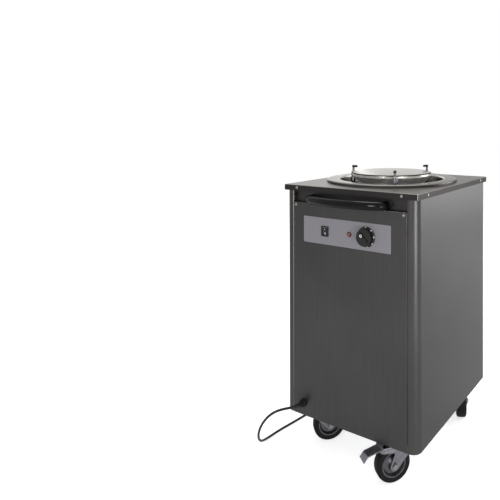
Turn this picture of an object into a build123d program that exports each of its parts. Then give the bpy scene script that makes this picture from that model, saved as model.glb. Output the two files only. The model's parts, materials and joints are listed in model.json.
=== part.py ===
from build123d import *
import math
import os

# Heated plate dispenser cart: a sheet steel cabinet on four swivel casters, with one sprung
# plate lift in a heated well. Millimetres, +Z up, front towards -Y, floor at z = 0.
# The pieces are made about the cabinet's plan centre, and moved along Y at the end, so that the
# box round everything but the mains lead is centred on the origin.

# ---- cabinet ----
top_width = 460.0
top_depth = 520.0
top_height = 800.0
top_overhang = 3.0
flange_drop = 17.0
sheet = 1.5
skirt_bottom = 108.0
corner_radius = 26.0
front_return = 31.0
return_flange = 14.0
seam_gap = 0.4
pan_floor_top = 127.0
pan_sheet = 2.0
pan_skirt = 15.0
vent_length = 60.0
vent_width = 8.0
vent_pitch = 22.0
band_height = 51.0
band_recess = 14.0

# ---- plate well ----
ring_margin = 18.0
ring_width = 43.5
ring_rise = 8.0
ring_slope = 2.5
ring_lip_depth = 24.0
tube_gap = 0.6
tube_sheet = 1.2
tube_flange = 12.0
tube_hole_gap = 2.5
well_floor_top = 150.0
heater_inset = 46.5
heater_tube_radius = 4.0
heater_height = 14.0
heater_open_deg = 24.0
heater_bend = 10.0
floor_hole_circle = 60.0
floor_hole_radius = 5.0
rail_end_gap = 32.0
rail_width = 36.0
rail_foot = 16.0
rail_sheet = 2.0
rail_y = 70.0

# ---- plate lift ----
carrier_gap = 40.0
carrier_top = 828.0
carrier_band = 11.0
carrier_taper = 24.5
carrier_foot_drop = 37.0
spider_sheet = 4.0
spider_inset = 33.0
arm_width = 20.0
guide_count = 3
guide_angle = 184.0
guide_inset = 23.5
guide_rod_radius = 4.0
guide_rod_stand = 12.0
guide_foot_radius = 12.0
guide_foot_height = 6.0
sleeve_radius = 7.5
sleeve_height = 28.0
sleeve_rise = 32.0
bush_radius = 5.6
bush_flange = 1.5
running_gap = 0.08
cap_length = 20.0
cap_width = 9.5
cap_height = 7.0
cap_cover = 3.0
spring_inset = 6.0
spring_wire_radius = 3.5
spring_turns = 10
spring_seat_margin = 10.0
spring_seat_sheet = 2.0
spring_seat_rim = 9.0

# ---- push handle ----
handle_inset = 68.0
handle_below_top = 38.0
handle_tube_radius = 12.0
handle_leg_reach = 14.0
handle_bow_rise = 45.0
handle_corner_radius = 24.0
handle_straight = 0.1
handle_foot_radius = 13.0
handle_foot_height = 4.0
handle_bolt_radius = 4.0
handle_bolt_depth = 22.0
handle_bolt_head = 6.5

# ---- controls ----
control_drop = 129.0
control_centre_x = -4.0
control_margin = 45.0
control_height = 78.0
control_sheet = 1.5
control_corner = 2.5
switch_offset = -71.0
switch_width = 26.0
switch_height = 30.0
switch_rim = 2.5
switch_frame = 3.0
switch_depth = 20.0
rocker_tilt = 9.0
rocker_pivot_depth = 3.0
pilot_offset = 15.0
pilot_radius = 7.5
pilot_lens_radius = 5.8
pilot_depth = 16.0
knob_offset = 73.0
knob_skirt_radius = 28.5
knob_skirt_height = 5.0
knob_body_radius = 20.5
knob_body_height = 15.0
knob_bar_width = 9.0
knob_bar_height = 5.0
knob_stand_off = 1.0
spindle_radius = 3.0
spindle_length = 24.0
thermostat_width = 46.0
thermostat_depth = 26.0

# ---- screws ----
flange_screw_inset = 49.0
flange_screw_side_inset = 60.0
flange_screw_drop = 8.0
screw_head_radius = 4.2
screw_head_height = 1.8
screw_shank_radius = 1.8
screw_slot_width = 0.9
panel_screw_inset = 10.0
panel_screw_drop = 59.0

# ---- casters ----
caster_inset_x = 70.0
caster_inset_y = 60.0
wheel_radius = 50.0
wheel_width = 32.0
wheel_trail = 40.0
tyre_edge = 4.0
tyre_shoulder = 6.0
hub_radius = 36.0
hub_rim_inside = 31.0
hub_web_radius = 28.0
hub_boss_radius = 12.5
hub_hole_circle = 20.5
hub_hole_radius = 3.5
hub_squeeze = 0.1
axle_radius = 4.0
fork_inside = 38.0
fork_sheet = 2.5
fork_top = 112.0
fork_half_length = 28.0
fork_boss_radius = 13.0
race_radius = 25.0
race_gap = 0.3
caster_plate_length = 96.0
caster_plate_width = 72.0
caster_plate_sheet = 2.5
caster_hole_x = 38.0
caster_hole_y = 25.0
caster_bolt_radius = 3.5
kingpin_radius = 5.0
brake_pivot_x = 72.0
brake_pivot_z = 98.0
brake_ear_radius = 7.0
brake_pin_radius = 2.5
brake_reach = 130.0
brake_width = 32.0
brake_sheet = 2.5
brake_cam_radius = 4.0
brake_cam_x = 4.0
brake_cam_z = -5.5

# ---- mains lead ----
gland_inset = 36.0
gland_z = 144.0
gland_nut_radius = 12.5
gland_nut_height = 9.0
relief_root_radius = 8.0
relief_tip_radius = 4.6
relief_bend_radius = 42.0
relief_bend_deg = 45.0
cord_radius = 3.6
cord_first_run = 32.0
coil_outer_radius = 46.0
coil_pitch = 8.2
coil_turns_per_layer = 2
coil_centre_x = -20.0
coil_stand_off = 70.0
plug_relief_length = 36.0
plug_length = 42.0
plug_width = 35.0
plug_pin_length = 18.0
tie_width = 9.0
tie_sheet = 1.2

# ---- worked-out places ----
body_half_x = top_width / 2 - top_overhang
body_half_y = top_depth / 2 - top_overhang
front_face = -body_half_y
back_face = body_half_y
seam_x = body_half_x - front_return
flange_screw_x = top_width / 2 - flange_screw_inset
flange_screw_side_y = top_depth / 2 - flange_screw_side_inset
panel_screw_x = seam_x - panel_screw_inset
top_underside = top_height - sheet
band_bottom = top_height - band_height
handle_z = top_height - handle_below_top
handle_half_span = seam_x - handle_inset
control_width = 2 * (seam_x - control_margin)
switch_x = control_centre_x + switch_offset
pilot_x = control_centre_x + pilot_offset
knob_x = control_centre_x + knob_offset
control_z = top_height - control_drop
control_face = front_face - control_sheet
ring_outer_radius = top_width / 2 - ring_margin
well_mouth_radius = ring_outer_radius - ring_width
lip_outer_radius = well_mouth_radius + sheet
tube_inner_radius = lip_outer_radius + tube_gap
tube_outer_radius = tube_inner_radius + tube_sheet
ring_top = top_height + ring_rise
heater_radius = well_mouth_radius - heater_inset
rail_length = 2 * (body_half_x - rail_end_gap)
guide_radius = well_mouth_radius - guide_inset
carrier_radius = well_mouth_radius - carrier_gap
carrier_foot_radius = carrier_radius - carrier_taper
spider_radius = guide_radius - spider_inset
spring_radius = carrier_foot_radius - spring_inset
spring_seat_radius = spring_radius + spring_seat_margin
spider_top = carrier_top - carrier_foot_drop
guide_rod_top = carrier_top + guide_rod_stand
spring_bottom = well_floor_top + spring_seat_sheet
spring_top = spider_top - spider_sheet
guide_angles = [guide_angle + 360.0 / guide_count * k for k in range(guide_count)]
caster_mount = pan_floor_top - pan_sheet
caster_x = body_half_x - caster_inset_x
caster_y = body_half_y - caster_inset_y
gland_x = -(seam_x - gland_inset)
coil_centre_y = back_face + coil_stand_off
cord_z = cord_radius + 0.05
turn = math.radians

made = {}


def round_path(points, radii):
    """An open line through the points, with a radius at each inner corner (0 leaves it sharp)."""
    edges = []
    start = Vector(*points[0])
    for k in range(1, len(points) - 1):
        corner = Vector(*points[k])
        way_in = (corner - Vector(*points[k - 1])).normalized()
        way_out = (Vector(*points[k + 1]) - corner).normalized()
        half = way_in.get_angle(way_out) / 2
        cut = radii[k - 1] * math.tan(turn(half))
        if cut > 0:
            arc_start = corner - way_in * cut
            arc_end = corner + way_out * cut
            middle = (way_out - way_in).normalized()
            middle = corner + middle * (radii[k - 1] / math.cos(turn(half)) - radii[k - 1])
            edges.append(Line(start, arc_start))
            edges.append(ThreePointArc(arc_start, middle, arc_end))
            start = arc_end
        else:
            edges.append(Line(start, corner))
            start = corner
    edges.append(Line(start, Vector(*points[-1])))
    return Wire([e.edge() for e in edges])


def bent_sheet(points, radii, thickness, side=Side.LEFT):
    """The cross-section of a bent sheet whose outer face follows the points."""
    outline = round_path(points, radii)
    return make_face(offset(outline, amount=thickness, side=side, closed=True))


def rounded_box(width, depth, height, radius):
    """A box standing on z = 0 with rounded upright corners."""
    return extrude(RectangleRounded(width, depth, radius), height)


def facing_front(x, y, z):
    """A plane at a point, whose +Z looks out of the cabinet's front."""
    return Plane(origin=(x, y, z), x_dir=(1, 0, 0), z_dir=(0, -1, 0))


def facing_side(x, y, z, sign):
    """A plane at a point, whose +Z looks out of the cabinet's side."""
    return Plane(origin=(x, y, z), x_dir=(0, sign, 0), z_dir=(sign, 0, 0))


def facing_back(x, y, z):
    """A plane at a point, whose +Z looks out of the cabinet's back."""
    return Plane(origin=(x, y, z), x_dir=(-1, 0, 0), z_dir=(0, 1, 0))


def domed_screw(depth):
    """A cross-head screw standing on z = 0, its shank below."""
    head = Cylinder(screw_head_radius, screw_head_height, align=(Align.CENTER, Align.CENTER, Align.MIN))
    head = chamfer(head.edges().group_by(Axis.Z)[-1], screw_head_height * 0.5, screw_head_height * 0.9)
    slot = Box(screw_head_radius, screw_slot_width, screw_slot_width)
    slot += Box(screw_slot_width, screw_head_radius, screw_slot_width)
    shank = Cylinder(screw_shank_radius, depth, align=(Align.CENTER, Align.CENTER, Align.MAX))
    return head + shank - Pos(0, 0, screw_head_height) * slot


# ---- cabinet pieces ----
def side_panel(sign):
    """One side with its wrapped corners, front and rear returns and their inner flanges."""
    points = [
        (seam_x, front_face + return_flange),
        (seam_x, front_face),
        (body_half_x, front_face),
        (body_half_x, body_half_y),
        (seam_x, body_half_y),
        (seam_x, body_half_y - return_flange),
    ]
    section = bent_sheet(points, [sheet, corner_radius, corner_radius, sheet], sheet)
    panel = Pos(0, 0, skirt_bottom) * extrude(section, top_underside - skirt_bottom)
    below_floor = pan_floor_top + 1.0 - skirt_bottom
    for end in (-1, 1):
        notch_y = end * (body_half_y - sheet - return_flange / 2)
        panel -= Pos(seam_x, notch_y, skirt_bottom + below_floor / 2) * Box(
            4 * sheet, return_flange, below_floor
        )
    return panel if sign > 0 else mirror(panel, Plane.YZ)


def front_panel():
    """The flat front between the returns, folded in at its sides and top."""
    half = seam_x - seam_gap
    height = band_bottom - skirt_bottom
    middle = skirt_bottom + height / 2
    panel = Pos(0, front_face + sheet / 2, middle) * Box(2 * half, sheet, height)
    fold = return_flange - 1.0
    fold_y = front_face + fold / 2
    panel += Pos(0, fold_y, band_bottom - sheet / 2) * Box(2 * half, fold, sheet)
    fold_bottom = pan_floor_top + 1.0
    for side in (-1, 1):
        panel += Pos(side * (half - sheet / 2), fold_y, (band_bottom + fold_bottom) / 2) * Box(
            sheet, fold, band_bottom - fold_bottom
        )
    cuts = [
        (switch_x, control_z, Box(switch_width - 3, switch_height - 3, 6)),
        (pilot_x, control_z, Cylinder(pilot_lens_radius + 0.5, 6)),
        (knob_x, control_z, Cylinder(spindle_radius + 1.5, 6)),
        (gland_x, gland_z, Cylinder(relief_root_radius + 0.5, 6)),
    ]
    for x, z, tool in cuts:
        panel -= facing_front(x, front_face, z) * tool
    for side in (-1, 1):
        at = facing_front(side * panel_screw_x, front_face, top_height - panel_screw_drop)
        panel -= at * Cylinder(screw_shank_radius + 0.3, 6)
    return panel


def rear_panel():
    """The flat back between the rear returns, folded in at its sides."""
    half = seam_x - seam_gap
    height = top_underside - skirt_bottom
    panel = Pos(0, body_half_y - sheet / 2, skirt_bottom + height / 2) * Box(2 * half, sheet, height)
    fold = return_flange - 1.0
    fold_bottom = pan_floor_top + 1.0
    for side in (-1, 1):
        panel += Pos(
            side * (half - sheet / 2), body_half_y - fold / 2, (top_underside + fold_bottom) / 2
        ) * Box(sheet, fold, top_underside - fold_bottom)
    for x, z in rear_screw_places():
        panel -= facing_back(x, body_half_y, z) * Cylinder(screw_shank_radius + 0.3, 6)
    return panel


def rear_screw_places():
    high = top_height - panel_screw_drop
    low = skirt_bottom + panel_screw_drop
    return [(side * panel_screw_x, z) for side in (-1, 1) for z in (low, (low + high) / 2, high)]


def handle_band():
    """The recessed channel behind the push handle."""
    wall_y = front_face + band_recess
    half = seam_x - seam_gap
    wall_height = top_underside - band_bottom
    band = Pos(0, wall_y + sheet / 2, band_bottom + wall_height / 2) * Box(2 * half, sheet, wall_height)
    lip = band_recess - sheet
    band += Pos(0, wall_y - lip / 2, top_underside - sheet / 2) * Box(2 * half, lip, sheet)
    for side in (-1, 1):
        at = facing_front(side * handle_half_span, wall_y, handle_z)
        band -= at * Cylinder(handle_bolt_radius + 0.4, 8)
    return band


def base_pan():
    """The floor pan that the casters bolt to, with its down-turned rim."""
    width = 2 * (body_half_x - sheet)
    depth = 2 * (body_half_y - sheet)
    outer_corner = corner_radius - sheet + 1.0
    low = pan_floor_top - pan_skirt
    pan = Pos(0, 0, low) * rounded_box(width, depth, pan_skirt, outer_corner)
    hollow = rounded_box(
        width - 2 * pan_sheet, depth - 2 * pan_sheet, pan_skirt - pan_sheet, outer_corner - pan_sheet
    )
    pan -= Pos(0, 0, low) * hollow
    for x, y in caster_bolt_places():
        pan -= Pos(x, y, caster_mount) * Cylinder(caster_bolt_radius + 0.4, 8)
    vent = SlotOverall(vent_length, vent_width)
    for k in range(-3, 4):
        pan -= Pos(0, k * vent_pitch, caster_mount) * extrude(vent, 4, both=True)
    return pan


def worktop():
    """The tray-shaped top with its well hole and folded-down flange."""
    tray = Pos(0, 0, top_height - flange_drop) * rounded_box(top_width, top_depth, flange_drop, 3.0)
    tray = fillet(tray.edges().group_by(Axis.Z)[-1], 2.0)
    hollow = rounded_box(top_width - 2 * sheet, top_depth - 2 * sheet, flange_drop - sheet, 1.5)
    tray -= Pos(0, 0, top_height - flange_drop) * hollow
    tray -= Pos(0, 0, top_height) * Cylinder(tube_outer_radius + tube_hole_gap, 8)
    for at in flange_screw_planes():
        tray -= at * Cylinder(screw_shank_radius + 0.3, 6)
    return tray


def flange_screw_planes():
    z = top_height - flange_screw_drop
    planes = [facing_front(side * flange_screw_x, -top_depth / 2, z) for side in (-1, 1)]
    planes += [facing_back(side * flange_screw_x, top_depth / 2, z) for side in (-1, 1)]
    for side in (-1, 1):
        for end in (-1, 1):
            planes.append(facing_side(side * top_width / 2, end * flange_screw_side_y, z, side))
    return planes


def cabinet_screws():
    """Every visible screw: through the worktop's flange and in the front and rear panels."""
    flange_screws = [at * domed_screw(top_overhang - 0.1) for at in flange_screw_planes()]
    z = top_height - panel_screw_drop
    front = [facing_front(side * panel_screw_x, front_face, z) for side in (-1, 1)]
    back = [facing_back(x, body_half_y, z) for x, z in rear_screw_places()]
    return Compound(flange_screws + [at * domed_screw(8.0) for at in front + back])


# ---- well ----
def well_ring():
    """The pressed trim ring round the well's mouth, with its lip inside the tube."""
    points = [
        (ring_outer_radius, top_height),
        (ring_outer_radius - ring_slope, ring_top),
        (well_mouth_radius, ring_top),
        (well_mouth_radius, top_height - ring_lip_depth),
    ]
    section = bent_sheet(points, [3.0, 5.0], sheet)
    ring = revolve(Plane.XZ * section, Axis.Z)
    under = Cylinder(ring_outer_radius + 2.0, 4 * sheet) - Cylinder(ring_outer_radius - ring_slope, 8 * sheet)
    return ring - Pos(0, 0, top_height - 2 * sheet) * under


def well_tube():
    """The well's wall, with a flange on top that hangs on the worktop under the ring."""
    length = top_height - well_floor_top
    align = (Align.CENTER, Align.CENTER, Align.MIN)
    tube = Pos(0, 0, well_floor_top) * Cylinder(tube_outer_radius, length, align=align)
    tube += Pos(0, 0, top_height) * Cylinder(tube_outer_radius + tube_flange, tube_sheet, align=align)
    return tube - Pos(0, 0, well_floor_top) * Cylinder(tube_inner_radius, length + tube_sheet, align=align)


def heater_ends():
    """The two ends of the ring at the back of the well: each point, and the way that leads off it."""
    ends = []
    for sign in (-1, 1):
        angle = turn(90.0 + sign * heater_open_deg / 2)
        point = Vector(heater_radius * math.cos(angle), heater_radius * math.sin(angle), heater_z())
        along_ring = Vector(math.sin(angle), -math.cos(angle), 0) * sign
        ends.append((point, along_ring))
    return ends


def heater_z():
    return well_floor_top + heater_height


def well_floor():
    """The well's bottom plate, with clearance holes for the heater's ends."""
    low = well_floor_top - sheet
    align = (Align.CENTER, Align.CENTER, Align.MIN)
    floor = Pos(0, 0, low) * Cylinder(tube_outer_radius + 3, sheet, align=align)
    for point, way in heater_ends():
        at = point + way * heater_bend
        floor -= Pos(at.X, at.Y, low) * Cylinder(heater_tube_radius + 1.5, 8)
    for k in range(12):
        hole = Pos(floor_hole_circle, 0, low) * Cylinder(floor_hole_radius, 4 * sheet)
        floor -= Rot(0, 0, 30.0 * k) * hole
    return floor


def heater_element():
    """One tubular heating element: a ring, turned down at both ends through the floor."""
    start, finish = heater_ends()
    leg_bottom = well_floor_top - 12.0
    quarter = math.sin(turn(45))
    bends = []
    for point, way in (start, finish):
        end = point + way * heater_bend + Vector(0, 0, -heater_bend)
        middle = point + way * heater_bend * quarter + Vector(0, 0, -heater_bend * (1 - quarter))
        bends.append((Vector(end.X, end.Y, leg_bottom), end, middle, point))
    (low_1, end_1, middle_1, point_1), (low_2, end_2, middle_2, point_2) = bends
    path = Wire(
        [
            Edge.make_line(low_1, end_1),
            ThreePointArc(end_1, middle_1, point_1).edge(),
            ThreePointArc(point_1, Vector(0, -heater_radius, heater_z()), point_2).edge(),
            ThreePointArc(point_2, middle_2, end_2).edge(),
            Edge.make_line(end_2, low_2),
        ]
    )
    section = Plane(origin=path @ 0, z_dir=path % 0) * Circle(heater_tube_radius)
    return sweep(section, path=path)


def heater_clips():
    """Three saddles that hold the heater off the well's floor."""
    clips = []
    height = heater_height - heater_tube_radius - 0.2
    for angle in (210.0, 330.0, 60.0):
        clip = Pos(heater_radius, 0, well_floor_top + height / 2) * Box(16, 10, height)
        clips.append(Rot(0, 0, angle) * clip)
    return Compound(clips)


def well_supports():
    """Two cross rails that carry the well on the base pan."""
    height = well_floor_top - sheet - pan_floor_top - rail_sheet
    foot = rail_width / 2 + rail_foot
    half = rail_width / 2
    points = [(-foot, 0), (-half, 0), (-half, height), (half, height), (half, 0), (foot, 0)]
    section = bent_sheet(points, [1.0, 3.0, 3.0, 1.0], rail_sheet)
    rail = extrude(Plane.YZ * section, rail_length / 2, both=True)
    return Compound([Pos(0, side * rail_y, pan_floor_top) * rail for side in (-1, 1)])


# ---- lift ----
def carrier_plate():
    """The round plate table: flat top, upright rim band and a tapered skirt."""
    points = [
        (0, carrier_top),
        (carrier_radius, carrier_top),
        (carrier_radius, carrier_top - carrier_band),
        (carrier_foot_radius, spider_top),
    ]
    section = bent_sheet(points, [4.0, 3.0], sheet, side=Side.RIGHT)
    return revolve(Plane.XZ * section, Axis.Z)


def carrier_spider():
    """The disc and arms under the table, with a tall sleeve at each guide rod."""
    align = (Align.CENTER, Align.CENTER, Align.MAX)
    low_align = (Align.CENTER, Align.CENTER, Align.MIN)
    spider = Pos(0, 0, spider_top) * Cylinder(spider_radius, spider_sheet, align=align)
    spider -= Pos(0, 0, spider_top) * Cylinder(spider_radius * 0.62, 3 * spider_sheet)
    sleeve_bottom = spider_top + sleeve_rise - sleeve_height
    for angle in guide_angles:
        inner = spider_radius - 8.0
        reach = guide_radius - inner
        arm = Pos(inner + reach / 2, 0, spider_top - spider_sheet / 2) * Box(
            reach, arm_width, spider_sheet
        )
        stand = Pos(guide_radius, 0, spider_top - spider_sheet) * Cylinder(
            sleeve_radius, sleeve_bottom + sleeve_height - spider_top + spider_sheet, align=low_align
        )
        spider += Rot(0, 0, angle) * (arm + stand)
    for angle in guide_angles:
        bore = Pos(guide_radius, 0, spider_top) * Cylinder(bush_radius + 0.05, 4 * sleeve_height)
        spider -= Rot(0, 0, angle) * bore
    return spider


def guide_bushes():
    """A flanged plastic liner in each sleeve, running on its rod."""
    low_align = (Align.CENTER, Align.CENTER, Align.MIN)
    sleeve_top = spider_top + sleeve_rise
    low = spider_top - spider_sheet
    bushes = []
    for angle in guide_angles:
        bush = Pos(0, 0, low) * Cylinder(bush_radius, sleeve_top - low, align=low_align)
        bush += Pos(0, 0, sleeve_top) * Cylinder(sleeve_radius - 0.5, bush_flange, align=low_align)
        bush -= Cylinder(guide_rod_radius + running_gap, 3 * top_height)
        bushes.append(Rot(0, 0, angle) * Pos(guide_radius, 0, 0) * bush)
    return Compound(bushes)


def guide_rods():
    """The upright rods that centre the plates, each on a foot on the well's floor."""
    low_align = (Align.CENTER, Align.CENTER, Align.MIN)
    rod = Pos(0, 0, well_floor_top) * Cylinder(
        guide_rod_radius, guide_rod_top - well_floor_top, align=low_align
    )
    foot = extrude(RegularPolygon(guide_foot_radius, 6), guide_foot_height)
    rod += Pos(0, 0, well_floor_top) * foot
    return Compound([Rot(0, 0, a) * Pos(guide_radius, 0, 0) * rod for a in guide_angles])


def guide_caps():
    """A moulded cap on each rod, reaching in to the edge of the plate table."""
    caps = []
    low = guide_rod_top - cap_cover
    centre = guide_radius - cap_length / 2 + cap_width / 2
    for angle in guide_angles:
        cap = extrude(SlotOverall(cap_length, cap_width), cap_height)
        cap = fillet(cap.edges().group_by(Axis.Z)[-1], 1.5)
        cap = Pos(centre, 0, low) * cap
        cap -= Pos(guide_radius, 0, guide_rod_top) * Cylinder(
            guide_rod_radius + 0.05, 4 * cap_cover, align=(Align.CENTER, Align.CENTER, Align.MAX)
        )
        caps.append(Rot(0, 0, angle) * cap)
    return Compound(caps)


def lift_spring():
    """The compression spring under the plate table."""
    height = spring_top - spring_bottom - 2 * spring_wire_radius - 0.4
    coil = Helix(pitch=height / spring_turns, height=height, radius=spring_radius)
    section = Plane(origin=coil @ 0, z_dir=coil % 0) * RegularPolygon(spring_wire_radius, 6)
    spring = sweep(section, path=coil, is_frenet=True)
    return Pos(0, 0, spring_bottom + spring_wire_radius + 0.2) * spring


def spring_seat():
    """The dished ring that keeps the spring's foot in place."""
    points = [
        (spring_radius - 10.0, well_floor_top),
        (spring_seat_radius, well_floor_top),
        (spring_seat_radius, well_floor_top + spring_seat_rim),
    ]
    section = bent_sheet(points, [3.0], spring_seat_sheet)
    return revolve(Plane.XZ * section, Axis.Z)


# ---- handle ----
def handle_path():
    wall = front_face + band_recess - handle_foot_height
    bend = front_face - handle_leg_reach
    crown = bend - handle_bow_rise
    bow_angle = math.atan(handle_bow_rise / handle_half_span)
    side_length = math.hypot(handle_bow_rise, handle_half_span)
    corner_cut = handle_corner_radius * math.tan((math.pi / 2 - bow_angle) / 2)
    bow_radius = (side_length - corner_cut - handle_straight) / math.tan(bow_angle)
    points = [
        (-handle_half_span, wall, handle_z),
        (-handle_half_span, bend, handle_z),
        (0, crown, handle_z),
        (handle_half_span, bend, handle_z),
        (handle_half_span, wall, handle_z),
    ]
    return round_path(points, [handle_corner_radius, bow_radius, handle_corner_radius])


def push_handle():
    """The bowed grip with both legs turned back to the band."""
    path = handle_path()
    section = Plane(origin=path @ 0, z_dir=path % 0) * Circle(handle_tube_radius)
    grip = sweep(section, path=path)
    for side in (-1, 1):
        at = facing_front(side * handle_half_span, front_face + band_recess, handle_z)
        grip -= at * Cylinder(handle_bolt_radius + 0.1, 2 * handle_bolt_depth)
    return grip


def handle_feet():
    """The round collars between the legs and the band."""
    feet = []
    for side in (-1, 1):
        foot = Cylinder(handle_foot_radius, handle_foot_height, align=(Align.CENTER, Align.CENTER, Align.MIN))
        foot = chamfer(foot.edges().group_by(Axis.Z)[-1], 1.5)
        foot -= Cylinder(handle_bolt_radius + 0.1, 30)
        at = facing_front(side * handle_half_span, front_face + band_recess, handle_z)
        feet.append(at * foot)
    return Compound(feet)


def handle_bolts():
    """The bolts that hold the legs from behind the band."""
    bolts = []
    for side in (-1, 1):
        at = facing_front(side * handle_half_span, front_face + band_recess + sheet, handle_z)
        head = extrude(RegularPolygon(handle_bolt_head, 6), -4.0)
        shank = Cylinder(
            handle_bolt_radius, sheet + handle_bolt_depth - 1.0, align=(Align.CENTER, Align.CENTER, Align.MIN)
        )
        bolts.append(at * (head + shank))
    return Compound(bolts)


# ---- controls ----
def control_plate():
    """The grey fascia with its three cut-outs."""
    plate = extrude(RectangleRounded(control_width, control_height, control_corner), control_sheet)
    plate -= Pos(switch_x - control_centre_x, 0, 0) * Box(switch_width - 3, switch_height - 3, 8)
    plate -= Pos(pilot_x - control_centre_x, 0, 0) * Cylinder(pilot_lens_radius + 0.5, 8)
    plate -= Pos(knob_x - control_centre_x, 0, 0) * Cylinder(spindle_radius + 1.5, 8)
    return facing_front(control_centre_x, front_face, control_z) * plate


def switch_housing():
    """The switch's rim on the fascia and its box behind."""
    rim = extrude(RectangleRounded(switch_width, switch_height, 2.0), switch_rim)
    rim = fillet(rim.edges().group_by(Axis.Z)[-1], 0.8)
    box = Pos(0, 0, -switch_depth / 2) * Box(switch_width - 4, switch_height - 4, switch_depth)
    hole = Pos(0, 0, switch_rim) * Box(
        switch_width - 2 * switch_frame, switch_height - 2 * switch_frame, 2 * (switch_rim + 8.0)
    )
    return facing_front(switch_x, control_face, control_z) * (rim + box - hole)


def switch_pivot():
    return Vector(switch_x, control_face + rocker_pivot_depth, control_z)


def rocker():
    """The rocker, lying with its lower end pressed in, which is off."""
    half = switch_height / 2 - switch_frame - 0.8
    front = 5.4
    points = [(-half, front), (0, front - 1.9), (half, front), (half * 0.55, -3.4), (-half * 0.55, -3.4)]
    section = make_face(Polyline(*points, close=True))
    width = switch_width - 2 * switch_frame - 1.0
    body = extrude(Plane(origin=(0, 0, 0), x_dir=(0, 1, 0), z_dir=(1, 0, 0)) * section, width / 2, both=True)
    at = facing_front(switch_x, switch_pivot().Y, control_z)
    return at * (Rot(rocker_tilt, 0, 0) * body)


def pilot_bezel():
    bezel = Cylinder(pilot_radius, 2.0, align=(Align.CENTER, Align.CENTER, Align.MIN))
    bezel = fillet(bezel.edges().group_by(Axis.Z)[-1], 1.0)
    barrel = Cylinder(pilot_lens_radius + 0.2, pilot_depth, align=(Align.CENTER, Align.CENTER, Align.MAX))
    bore = Cylinder(pilot_lens_radius - 0.8, 4 * pilot_depth)
    return facing_front(pilot_x, control_face, control_z) * (bezel + barrel - bore)


def pilot_lens():
    low_align = (Align.CENTER, Align.CENTER, Align.MIN)
    radius = pilot_lens_radius - 1.0
    lens = Pos(0, 0, -6.0) * Cylinder(radius, 8.5, align=low_align)
    lens += Pos(0, 0, 2.0) * Cylinder(radius + 0.8, 1.8, align=low_align)
    lens = fillet(lens.edges().group_by(Axis.Z)[-1], 1.4)
    return facing_front(pilot_x, control_face, control_z) * lens


def thermostat():
    """The thermostat behind the front, with the bush that its spindle turns in."""
    behind = thermostat_depth / 2 + sheet
    box = Pos(0, 0, -behind) * Box(thermostat_width, thermostat_width * 0.8, thermostat_depth)
    box = chamfer(box.edges().filter_by(Axis.Z), 3.0)
    box -= Cylinder(spindle_radius + running_gap, 2 * spindle_length)
    return facing_front(knob_x, front_face, control_z) * box


def knob():
    """The thermostat knob: dial skirt, fluted body, finger bar and its spindle."""
    low_align = (Align.CENTER, Align.CENTER, Align.MIN)
    skirt = Cylinder(knob_skirt_radius, knob_skirt_height, align=low_align)
    skirt = chamfer(skirt.edges().group_by(Axis.Z)[-1], 2.5)
    body = Pos(0, 0, knob_skirt_height) * extrude(Circle(knob_body_radius), knob_body_height - 5.0, taper=6)
    for k in range(18):
        flute = Pos(knob_body_radius + 0.6, 0, knob_skirt_height + knob_body_height / 2)
        body -= Rot(0, 0, 20.0 * k) * flute * Cylinder(1.6, knob_body_height)
    bar_length = 2 * knob_body_radius - 4.0
    bar = extrude(SlotOverall(bar_length, knob_bar_width), knob_body_height + knob_bar_height)
    bar = fillet(bar.edges().group_by(Axis.Z)[-1], 1.5)
    turned = skirt + body + Pos(0, 0, 0.5) * bar
    turned += Pos(0, 0, 1.0) * Cylinder(
        spindle_radius, spindle_length, align=(Align.CENTER, Align.CENTER, Align.MAX)
    )
    return facing_front(knob_x, control_face - knob_stand_off, control_z) * turned


# ---- casters ----
def caster_bolt_places():
    places = []
    for sx in (-1, 1):
        for sy in (-1, 1):
            for hx in (-1, 1):
                for hy in (-1, 1):
                    places.append((sx * caster_x + hx * caster_hole_x, sy * caster_y + hy * caster_hole_y))
    return places


def caster_bolts():
    """Hexagon bolts through the base pan into every caster plate."""
    low_align = (Align.CENTER, Align.CENTER, Align.MIN)
    bolt = Pos(0, 0, pan_floor_top) * extrude(RegularPolygon(6.5, 6), 4.5)
    length = pan_sheet + caster_plate_sheet + 6.0
    bolt += Pos(0, 0, pan_floor_top - length) * Cylinder(caster_bolt_radius, length, align=low_align)
    nut = extrude(RegularPolygon(6.5, 6), -5.0)
    bolt += Pos(0, 0, caster_mount - caster_plate_sheet) * nut
    return Compound([Pos(x, y, 0) * bolt for x, y in caster_bolt_places()])


def caster_plate():
    """The mounting plate with the fixed upper race and the kingpin, on the swivel axis."""
    high_align = (Align.CENTER, Align.CENTER, Align.MAX)
    plate = rounded_box(caster_plate_length, caster_plate_width, caster_plate_sheet, 8.0)
    for hx in (-1, 1):
        for hy in (-1, 1):
            plate -= Pos(hx * caster_hole_x, hy * caster_hole_y, 0) * Cylinder(caster_bolt_radius + 0.4, 8)
    plate = Pos(0, 0, caster_mount - caster_plate_sheet) * plate
    race_bottom = fork_top + 2.5 + race_gap
    race_height = caster_mount - caster_plate_sheet - race_bottom
    race = Pos(0, 0, race_bottom) * extrude(Circle(race_radius), race_height, taper=-18)
    pin_bottom = fork_top - fork_sheet - race_gap
    pin = Pos(0, 0, race_bottom) * Cylinder(kingpin_radius, race_bottom - pin_bottom, align=high_align)
    head = Pos(0, 0, pin_bottom) * Cylinder(kingpin_radius + 4.0, 3.0, align=high_align)
    head = fillet(head.edges().group_by(Axis.Z)[0], 1.2)
    return plate + race + pin + head


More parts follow.
